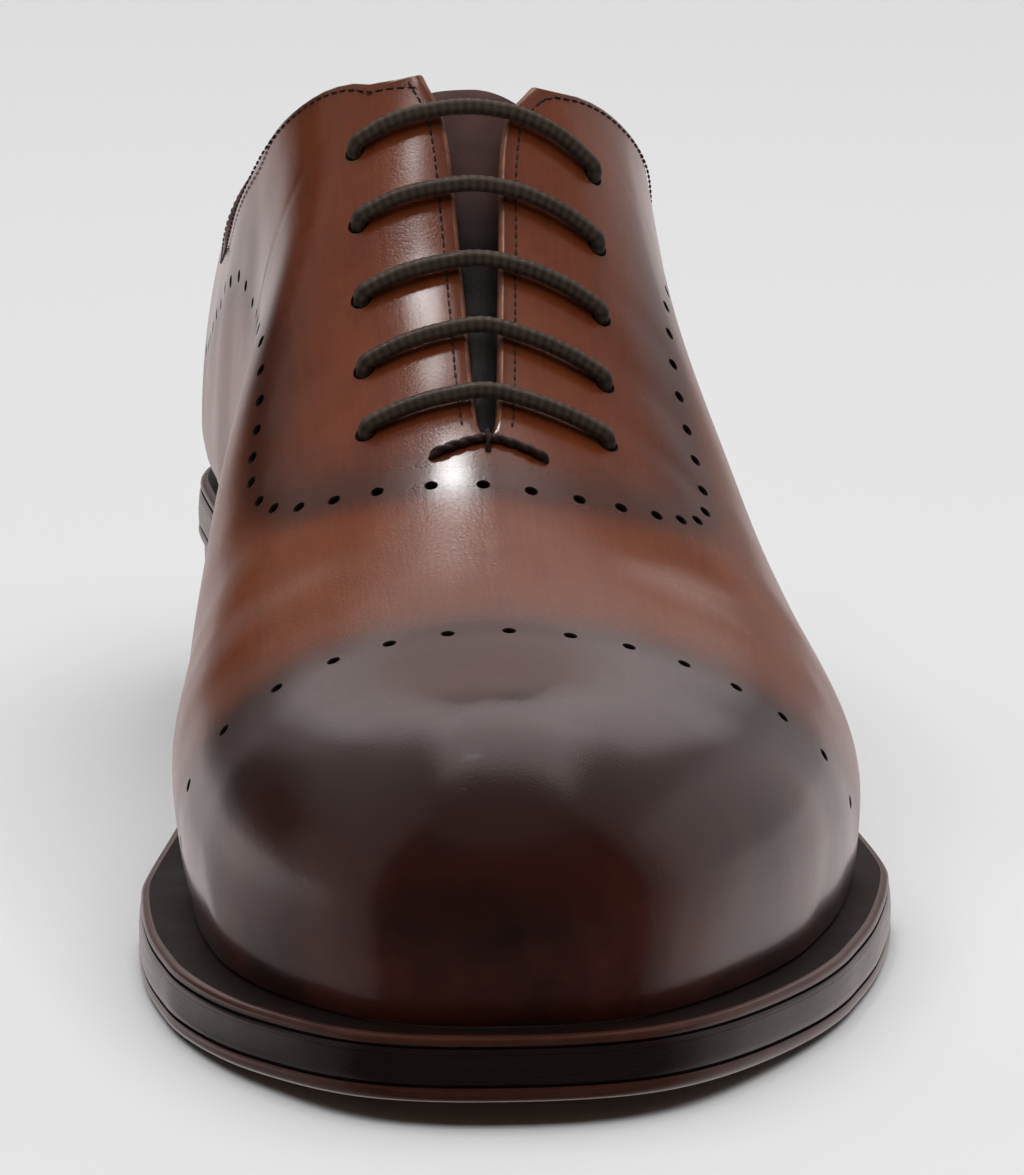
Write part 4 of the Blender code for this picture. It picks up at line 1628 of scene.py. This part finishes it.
def cord_mesh(name, path, radius, sides, relief, finish):
    """Round cord along a path in millimetres, with a relief from the way round and the way along."""
    path = np.asarray(path, float)
    tangents = np.gradient(path, axis=0)
    tangents /= np.linalg.norm(tangents, axis=1, keepdims=True)
    walked = walk(path)
    side_way = np.cross(tangents[0], ASKEW)
    side_way /= np.linalg.norm(side_way)
    turns = 2 * math.pi * np.arange(sides) / sides
    points = []
    crowns = []
    for point, tangent, reach in zip(path, tangents, walked):
        side_way = side_way - tangent * (side_way @ tangent)
        side_way /= np.linalg.norm(side_way)
        up = np.cross(tangent, side_way)
        crown, rise = relief(turns, reach)
        wide = radius + rise
        ring = point + wide[:, None] * (np.cos(turns)[:, None] * side_way + np.sin(turns)[:, None] * up)
        points += list(ring)
        crowns += list(crown)
    faces = []
    for i in range(len(path) - 1):
        for k in range(sides):
            after = (k + 1) % sides
            low = i * sides
            faces.append((low + k, low + after, low + sides + after, low + sides + k))
    last = (len(path) - 1) * sides
    faces.append(tuple(range(sides - 1, -1, -1)))
    faces.append(tuple(range(last, last + sides)))
    cord = new_piece(name, points, faces, [finish])
    set_mask(cord.data, "plait", crowns)
    return cord


def on_last(side, along, reach, lift):
    """Point over the last, this far from the ridge in plan and raised along the surface normal."""
    part = Section(side, along)
    point = part.arch_point(part.angle_at_reach(reach))
    ahead = Section(side, along + SLOPE_STEP)
    beside = part.arch_point(part.angle_at_reach(reach + SLOPE_STEP))
    forward = ahead.arch_point(ahead.angle_at_reach(reach)) - point
    normal = forward.cross(beside - point).normalized()
    if normal.z < 0:
        normal = -normal
    return point + normal * lift


def hole_route(side, along, towards):
    """Lace going down through an eyelet and turning away below it, towards the toe or the collar."""
    bend = LACE_LIFT * (1 - math.sqrt(0.5))
    reach = EYELET_REACH
    return [
        on_last(side, along, reach - LACE_LIFT, LACE_LIFT - LACE_PRESS),
        on_last(side, along, reach - bend, LACE_LIFT - bend - LACE_PRESS),
        on_last(side, along, reach, -LACE_PRESS),
        on_last(side, along, reach, -LACE_DEPTH + LACE_LIFT),
        on_last(side, along + towards * bend, reach, -LACE_DEPTH + bend),
        on_last(side, along + towards * LACE_LIFT, reach, -LACE_DEPTH),
    ]


def bar_middle(from_side, along):
    """Lace across the throat, from one side to the other."""
    route = [on_last(from_side, along, reach, LACE_LIFT) for reach in BAR_REACHES]
    route.append(on_last(from_side, along, RIDGE_REACH, LACE_LIFT))
    route += [on_last(-from_side, along, reach, LACE_LIFT) for reach in reversed(BAR_REACHES)]
    return route


def lace_route():
    """The hidden end up the lateral side, then the five bars from the bottom to the top."""
    toe = -1
    collar = 1
    first = BAR_ALONG[0]
    top = BAR_ALONG[-1]
    route = []
    return_steps = 5
    for i in range(return_steps):
        along = top + (first - top) * i / return_steps
        route.append(on_last(LATERAL, along, RETURN_REACH, -LACE_DEPTH))
    route.append(on_last(LATERAL, first - RETURN_TURN, RETURN_REACH - LACE_LIFT, -LACE_DEPTH))
    side = LATERAL
    for along in BAR_ALONG:
        up = hole_route(side, along, toe)[::-1]
        down = hole_route(-side, along, collar)
        route += up + bar_middle(side, along) + down
        side = -side
    return route


def plaits(turns, reach):
    """Crossing plaits of a round braid: how far each point stands up, and its rise."""
    slant = 2 * math.pi * reach / PLAIT_PITCH
    crown = np.sin(PLAIT_COUNT * turns + slant) * np.sin(PLAIT_COUNT * turns - slant)
    crown = 0.5 + 0.5 * crown
    return crown, PLAIT_RELIEF * (crown - PLAIT_LEVEL)


def build_lace(finish):
    path = curve_through([tuple(point) for point in lace_route()], LACE_STEP)
    lace = cord_mesh("lace_braid", path, LACE_RADIUS, LACE_SIDES, plaits, finish)
    seat(lace, "lace_cotton", "lace")


def twisted(turns, reach):
    """Two strands laid round each other."""
    crown = np.abs(np.cos(turns - math.pi * reach / TACK_PITCH))
    return crown, TACK_RELIEF * (crown - PLAIT_LEVEL)


def build_bar_tack(thread):
    """The cord across the throat's foot, and the short stitch across its middle."""
    path = curve_through([over_skin(*place) for place in TACK], TACK_STEP)
    tack = cord_mesh("throat_bar_tack", path, TACK_RADIUS, TACK_SIDES, twisted, thread)
    seat(tack, "lace_cotton")
    path = curve_through([over_skin(*place) for place in TACK_STITCH], TACK_STEP)
    stitch = cord_mesh("throat_tack_stitch", path, TACK_STITCH_RADIUS, TACK_STITCH_SIDES, twisted, thread)
    seat(stitch, "lace_cotton")


def tongue_depth(along):
    share = float(smooth_step(TONGUE_SEWN_END, TONGUE_LACED_START, along))
    return TONGUE_SEWN_DEPTH + (TONGUE_LACED_DEPTH - TONGUE_SEWN_DEPTH) * share


def leaf_faces(length_steps, width, layer_size):
    """Upper side, underside and border of a thin leaf of two layers."""
    faces = []
    for i in range(length_steps):
        for j in range(width - 1):
            corner = i * width + j
            faces.append((corner, corner + 1, corner + width + 1, corner + width))
            under = (corner, corner + width, corner + width + 1, corner + 1)
            faces.append(tuple(layer_size + k for k in under))
    border = list(range(width))
    border += [i * width + width - 1 for i in range(1, length_steps + 1)]
    border += [length_steps * width + j for j in range(width - 2, -1, -1)]
    border += [i * width for i in range(length_steps - 1, 0, -1)]
    for place, corner in enumerate(border):
        after = border[(place + 1) % len(border)]
        faces.append((corner, layer_size + corner, layer_size + after, after))
    return faces


def tongue_half(along):
    share = (along - TONGUE_FRONT) / (TONGUE_BACK - TONGUE_FRONT)
    return TONGUE_FRONT_HALF + (TONGUE_BACK_HALF - TONGUE_FRONT_HALF) * share


def build_tongue(leather):
    """Curved leaf below the throat, with its edges skived thin and round."""
    length_steps = 60
    half_steps = 22
    width = 2 * half_steps + 1
    points = []
    painted_shades = []
    for layer in (0.0, 1.0):
        for i in range(length_steps + 1):
            along = TONGUE_FRONT + (TONGUE_BACK - TONGUE_FRONT) * i / length_steps
            half = tongue_half(along)
            middle = tongue_depth(along) + TONGUE_THICK / 2
            for j in range(-half_steps, half_steps + 1):
                side = LATERAL if j > 0 else MEDIAL
                reach = half * abs(j) / half_steps
                edge = max(min(half - reach, TONGUE_BACK - along, along - TONGUE_FRONT), 0.0)
                round_off = math.sqrt(1 - (1 - min(edge / TONGUE_SKIVE, 1.0)) ** 2)
                thick = TONGUE_THICK * (TONGUE_THIN + (1 - TONGUE_THIN) * round_off)
                points.append(on_last(side, along, reach, -middle + thick * (0.5 - layer)))
            # Painted shade, 1 at the front of the tongue and fading to 0 towards its top
            painted_shades += [1 - float(smooth_step(TONGUE_SHADE_END, TONGUE_SHADE_START, along))] * width
    faces = leaf_faces(length_steps, width, width * (length_steps + 1))
    tongue = new_piece("tongue_leaf", points, faces, [leather])
    set_mask(tongue.data, "deep", painted_shades)
    seat(tongue, "tongue_leather", "tongue")


def build_tongue_stitches(thread):
    """A row of stitches along the tongue's top edge."""
    along = TONGUE_BACK - TONGUE_STITCH
    lift = -tongue_depth(along) + STITCH_LIFT
    half = tongue_half(along) - TONGUE_STITCH_END
    steps = 40
    path = []
    for j in range(-steps, steps + 1):
        side = LATERAL if j > 0 else MEDIAL
        path.append(on_last(side, along, half * abs(j) / steps, lift))
    sew("tongue_stitches", [path], thread)


def sole_loop(inset, height):
    """Loop of the outline at one inset, at a height above the tread; inset may depend on the place."""
    points = []
    for side, i in RING:
        along = STATIONS[i]
        place = outline_point(side, along, inset(side, along))
        points.append((place.x, place.y, tread_height(place.y) + height))
    return points


def ring_faces(lower, upper, count):
    """Faces between two loops, from the numbers of their first points."""
    faces = []
    for i in range(count):
        after = (i + 1) % count
        faces.append((lower + i, lower + after, upper + after, upper + i))
    return faces


def wall_faces(loops, count):
    """Faces between each loop and the next one up."""
    faces = []
    for level in range(loops - 1):
        faces += ring_faces(level * count, (level + 1) * count, count)
    return faces


def cap_faces(first):
    """Strips across the shoe from the lateral to the medial points of one loop."""
    count = len(RING)
    faces = [(first, first + 1, first + count - 1)]
    for i in range(1, LAST_STATION - 1):
        faces.append((first + i, first + i + 1, first + count - i - 1, first + count - i))
    faces.append((first + LAST_STATION - 1, first + LAST_STATION, first + LAST_STATION + 1))
    return faces


def build_outsole(lip, band, groove, under):
    """The leather sole with its ironed edge, a margin and the closed channel on its underside."""
    order = ("lip", "band", "groove", "under")
    count = len(RING)
    rows = [(inset, 0.0, "under", channel, 0.0) for inset, channel in UNDER_ROWS]
    rows += [(inset, height, finish, 0.0, 1.0) for height, inset, finish in OUTSOLE_EDGE]
    points = []
    channels = []
    margins = []
    for inset, height, _, channel, margin in rows:
        points += sole_loop(even_inset(inset), height)
        channels += [channel] * count
        margins += [margin] * count
    bottom = cap_faces(0)
    top = cap_faces((len(rows) - 1) * count)
    faces = wall_faces(len(rows), count) + bottom + top
    face_finish = []
    for _, _, finish, _, _ in rows[:-1]:
        face_finish += [order.index(finish)] * count
    face_finish += [order.index("under")] * len(bottom) + [order.index("groove")] * len(top)
    sole = new_piece("outsole_leather", points, faces, [lip, band, groove, under], face_finish)
    set_mask(sole.data, "channel", channels)
    set_mask(sole.data, "margin", margins)
    seat(sole, "sole_leather", "outsole")


def build_welt(lip, top, groove, band):
    """Ring with its lip outside, reaching in under the wall of the upper."""
    order = ("lip", "top", "groove", "band")
    base = OUTSOLE_THICK + SEAT_GAP
    rows = [(even_inset(inset), base + height, finish) for height, inset, finish in WELT_EDGE]
    rows.append((ledge_inset(WALL), base + WELT_THICK, "groove"))
    rows.append((ledge_inset(WALL), base, "groove"))
    count = len(RING)
    points = []
    face_finish = []
    for inset, height, finish in rows:
        points += sole_loop(inset, height)
        face_finish += [order.index(finish)] * count
    faces = wall_faces(len(rows), count) + ring_faces((len(rows) - 1) * count, 0, count)
    welt = new_piece("welt_strip", points, faces, [lip, top, groove, band], face_finish)
    seat(welt, "welt_leather", "welt")


def build_insole(lining):
    """Board with its sock lining, rounded over at the edge."""
    base = OUTSOLE_THICK + SEAT_GAP
    count = len(RING)
    points = []
    for inset, height in INSOLE_EDGE:
        points += sole_loop(ledge_inset(WALL + INSOLE_GAP + inset), base + height)
    loops = len(INSOLE_EDGE)
    faces = wall_faces(loops, count) + cap_faces(0) + cap_faces((loops - 1) * count)
    board = new_piece("insole_sock", points, faces, [lining])
    seat(board, "insole_leather", "insole")


def heel_loop(inset, height):
    """Outline of the heel behind its breast, which is hollowed a little towards the back."""
    backs = [along for along in STATIONS if along > HEEL_BREAST + BREAST_CLEAR]
    lateral = [outline_point(LATERAL, along, inset) for along in [HEEL_BREAST] + backs]
    medial = [outline_point(MEDIAL, along, inset) for along in [HEEL_BREAST] + backs[:-1]]
    breast = []
    for i in range(1, BREAST_STEPS):
        t = i / BREAST_STEPS
        hollow = BREAST_HOLLOW * math.sin(math.pi * t)
        breast.append(medial[0].lerp(lateral[0], t) + Vector((0.0, hollow)))
    return [(p.x, p.y, height) for p in lateral + medial[::-1] + breast]


def heel_solid(name, levels, finish):
    loops = [heel_loop(inset, height) for inset, height in levels]
    count = len(loops[0])
    points = [point for loop in loops for point in loop]
    top = (len(loops) - 1) * count
    faces = wall_faces(len(loops), count)
    faces.append(tuple(range(count)))
    faces.append(tuple(range(top, top + count)))
    return new_piece(name, points, faces, [finish])


def stack_inset(height):
    """The stack tapers towards the ground and stands straight below the sole."""
    low = TOP_PIECE_HEIGHT + SEAT_GAP
    high = HEEL_HEIGHT - SEAT_GAP - STACK_STRAIGHT
    share = min(max((height - low) / (high - low), 0.0), 1.0)
    return STACK_TAPER + (STACK_INSET - STACK_TAPER) * share


def build_heel_stack(finish):
    """Leather lifts with a fine groove at each joint."""
    low = TOP_PIECE_HEIGHT + SEAT_GAP
    high = HEEL_HEIGHT - SEAT_GAP
    levels = [(stack_inset(low) + STACK_ROUND, low), (stack_inset(low), low + STACK_ROUND_HEIGHT)]
    for lift in range(1, LIFT_COUNT):
        joint = low + (high - low) * lift / LIFT_COUNT
        inset = stack_inset(joint)
        levels.append((inset, joint - LIFT_GROOVE))
        levels.append((inset + LIFT_GROOVE, joint))
        levels.append((inset, joint + LIFT_GROOVE))
    levels.append((stack_inset(high), high - STACK_ROUND_HEIGHT))
    levels.append((stack_inset(high) + STACK_ROUND, high))
    seat(heel_solid("heel_lifts", levels, finish), "heel_leather", "heel_stack")


def build_heel_top_piece(finish):
    seat(heel_solid("heel_rubber_piece", TOP_PIECE_EDGE, finish), "heel_rubber", "heel_top_piece")


def build_heel_nails(steel):
    """Nail heads round the underside of the top piece."""
    loop = np.array(heel_loop(NAIL_INSET, NAIL_CLEAR))
    closed = np.vstack([loop, loop[:1]])
    places = respaced(closed, walk(closed), NAIL_SPACING)[:-1]
    nails = place_cloud("heel_nails", places, [(0.0, 0.0, -1.0)] * len(places))
    head = turned_tool("nail_head", NAIL_PROFILE, NAIL_SIDES)
    scattering_tree().run_on(nails, {"Shape": head, "Finish": steel})
    smooth_shading(nails.data)
    discard(head)
    seat(nails, "heel_rubber")


def build_shoe():
    lining = lining_leather()
    dark = punch_shade()
    thread = sewing_thread()
    groove = waxed_edge("edge_groove", EDGE_BLACK, EDGE_BLACK, 0.6, 0.03, 0.0)
    band = waxed_edge("sole_leather", EDGE_BLACK, EDGE_BROWN, 0.26, 0.03, 0.34)
    lip = waxed_edge("welt_leather", LIP_DARK, LIP_RED, 0.30, 0.03, 0.4)
    ledge = waxed_edge("welt_top", LEDGE_BLACK, LEDGE_BROWN, 0.55, 0.05, 0.04)
    stack = waxed_edge("heel_leather", EDGE_BLACK, EDGE_BROWN, 0.26, 0.04, 0.5)
    bead = bead_leather("throat_bead", BEAD_TAN, BEAD_DARK)
    edge = bead_leather("collar_edge", BEAD_DARK, COLLAR_DARK)
    shell, outer, places = build_upper_shell([burnished_leather(), lining, bead, edge])
    punch_upper(shell, dark)
    paint_upper(shell, outer, places)
    seat(shell, "upper_leather", "upper")
    build_stitches(thread)
    build_bar_tack(thread)
    build_lace(braided_lace())
    build_tongue(tongue_leather())
    build_tongue_stitches(thread)
    build_outsole(lip, band, groove, sole_underside())
    build_welt(lip, ledge, groove, band)
    build_insole(lining)
    build_heel_stack(stack)
    build_heel_top_piece(heel_rubber())
    build_heel_nails(nail_steel())


# Half the width of the floor in metres
FLOOR_HALF = 7.0


def build_floor():
    made = Finish("floor_paper", roughness=0.75)
    cloud = made.noise(made.place(), 1.4, 2.0, 0.5)
    made.colour(made.blended(cloud, FLOOR_SHADE, FLOOR_PALE))
    corners = [(x * FLOOR_HALF, y * FLOOR_HALF, 0.0) for x, y in ((-1, -1), (1, -1), (1, 1), (-1, 1))]
    mesh = bpy.data.meshes.new("floor")
    mesh.from_pydata(corners, [], [(0, 1, 2, 3)])
    mesh.materials.append(made.material)
    floor = link("floor", mesh)
    floor.visible_glossy = False


# Lamps, in metres and watts: name, place, point that each faces, width, height, power,
# spread in degrees, and if gloss shows it
LAMPS = (
    ("lamp_over", (0.0, -0.05, 2.0), (0.0, -0.05, 0.0), 2.6, 2.6, 49.0, 180.0, False),
    ("lamp_facing", (-0.092, 0.07, 0.572), (-0.011, 0.0, 0.085), 0.07, 0.14, 0.0032, 16.0, True),
    ("lamp_throat", (-0.016, 0.1875, 0.5085), (-0.006, -0.04, 0.066), 0.09, 0.05, 0.0013, 11.0, True),
)

# Light of the room by direction: its tint, its dark part, what lies behind the shoe, and the ceiling
ROOM_TINT = (1.0, 0.90, 0.89, 1.0)
ROOM_DARK = 0.03
ROOM_BEHIND = 0.20
ROOM_BEHIND_FADE = (("y", -0.12, 0.12),)
ROOM_TOP = 0.10
ROOM_TOP_FADE = (("z", 0.86, 0.97),)
ROOM_MIDDLE = 0.08
ROOM_SLOPE = 0.9

# A dark panel on the inner side: each direction, where it leaves off and where it is full
ROOM_PANEL = (("x", -0.36, -0.46), ("y", 0.48, 0.62), ("z", 0.06, 0.14), ("z", 0.50, 0.30))

# Pale places of the room: how bright, then each direction, where it is dark and where it is bright
ROOM_PLACES = {
    "screen over the back": (0.95, (("aside", 0.42, 0.18), ("z", 0.34, 0.54), ("y", 0.0, 0.25))),
    "sheet below it": (
        0.72, (("aside", 0.47, 0.33), ("z", 0.20, 0.32), ("z", 0.62, 0.48), ("y", 0.0, 0.25)),
    ),
    "wall on the outer side": (0.40, (("x", 0.26, 0.56), ("slope", 0.05, -0.20), ("y", 0.02, 0.30))),
    "floor behind": (0.64, (("z", 0.10, -0.02), ("z", -0.50, -0.02), ("y", 0.20, 0.55))),
    "floor but for the inner side": (0.64, (("z", 0.10, -0.02), ("x", -0.42, -0.30), ("y", 0.20, 0.55))),
}


class Room(Nodes):
    """Light of the studio by direction."""

    def __init__(self):
        world = bpy.data.worlds.new("studio")
        bpy.context.scene.world = world
        world.use_nodes = True
        super().__init__(world.node_tree)
        where = self.node("ShaderNodeTexCoord", "Generated")
        x, y, z = (self.node("ShaderNodeSeparateXYZ", axis, {}, {0: where}) for axis in "XYZ")
        aside = self.maths("ABSOLUTE", x - ROOM_MIDDLE, 0.0)
        self.ways = {"x": x, "y": y, "z": z, "aside": aside, "slope": z - ROOM_SLOPE * x}

    def lit(self, fades):
        """1 where every direction is bright, and 0 where one of them is dark."""
        share = 1.0
        for way, dark, bright in fades:
            if dark < bright:
                share = share * self.ranged(self.ways[way], dark, bright)
            else:
                share = share * self.ranged(self.ways[way], bright, dark, 1.0, 0.0)
        return share

    def shine(self, value):
        backdrop = self.tree.nodes["Background"]
        backdrop.inputs["Color"].default_value = ROOM_TINT
        self.tree.links.new(value.socket, backdrop.inputs["Strength"])


def build_room():
    """Pale places behind and over the shoe, and dark round the camera."""
    room = Room()
    light = ROOM_BEHIND * room.lit(ROOM_BEHIND_FADE) * (1 - room.lit(ROOM_PANEL))
    for level, fades in ROOM_PLACES.values():
        light = room.maths("MAXIMUM", light, level * room.lit(fades))
    top = room.lit(ROOM_TOP_FADE)
    room.shine(ROOM_DARK + light * (1 - top) + ROOM_TOP * top)


def build_light():
    """Lamps over the shoe, in a room that is pale behind it."""
    for name, place, target, width, height, power, spread, shows in LAMPS:
        light = bpy.data.lights.new(name, "AREA")
        light.shape = "RECTANGLE"
        light.size = width
        light.size_y = height
        light.energy = power
        light.spread = math.radians(spread)
        lamp = bpy.data.objects.new(name, light)
        lamp.location = place
        lamp.rotation_euler = (Vector(target) - Vector(place)).to_track_quat("-Z", "Y").to_euler()
        lamp.visible_camera = False
        lamp.visible_glossy = shows
        bpy.context.scene.collection.objects.link(lamp)
    build_room()


def build_camera():
    """The photograph's angle, on the one shoe."""
    turn = math.radians(VIEW_AZIMUTH)
    rise = math.radians(VIEW_ELEVATION)
    back = Vector((math.sin(turn) * math.cos(rise), -math.cos(turn) * math.cos(rise), math.sin(rise)))
    lens = bpy.data.cameras.new("view")
    lens.sensor_width = SENSOR
    lens.lens = SENSOR * VIEW_DISTANCE / VIEW_HEIGHT
    lens.clip_start, lens.clip_end = VIEW_CLIP
    camera = bpy.data.objects.new("view", lens)
    camera.location = (Vector(VIEW_AIM) + back * VIEW_DISTANCE) * METRES
    camera.rotation_euler = (-back).to_track_quat("-Z", "Y").to_euler()
    bpy.context.scene.collection.objects.link(camera)
    bpy.context.scene.camera = camera
    bpy.context.scene.view_settings.view_transform = "Standard"


build_camera()
build_floor()
build_light()
build_shoe()
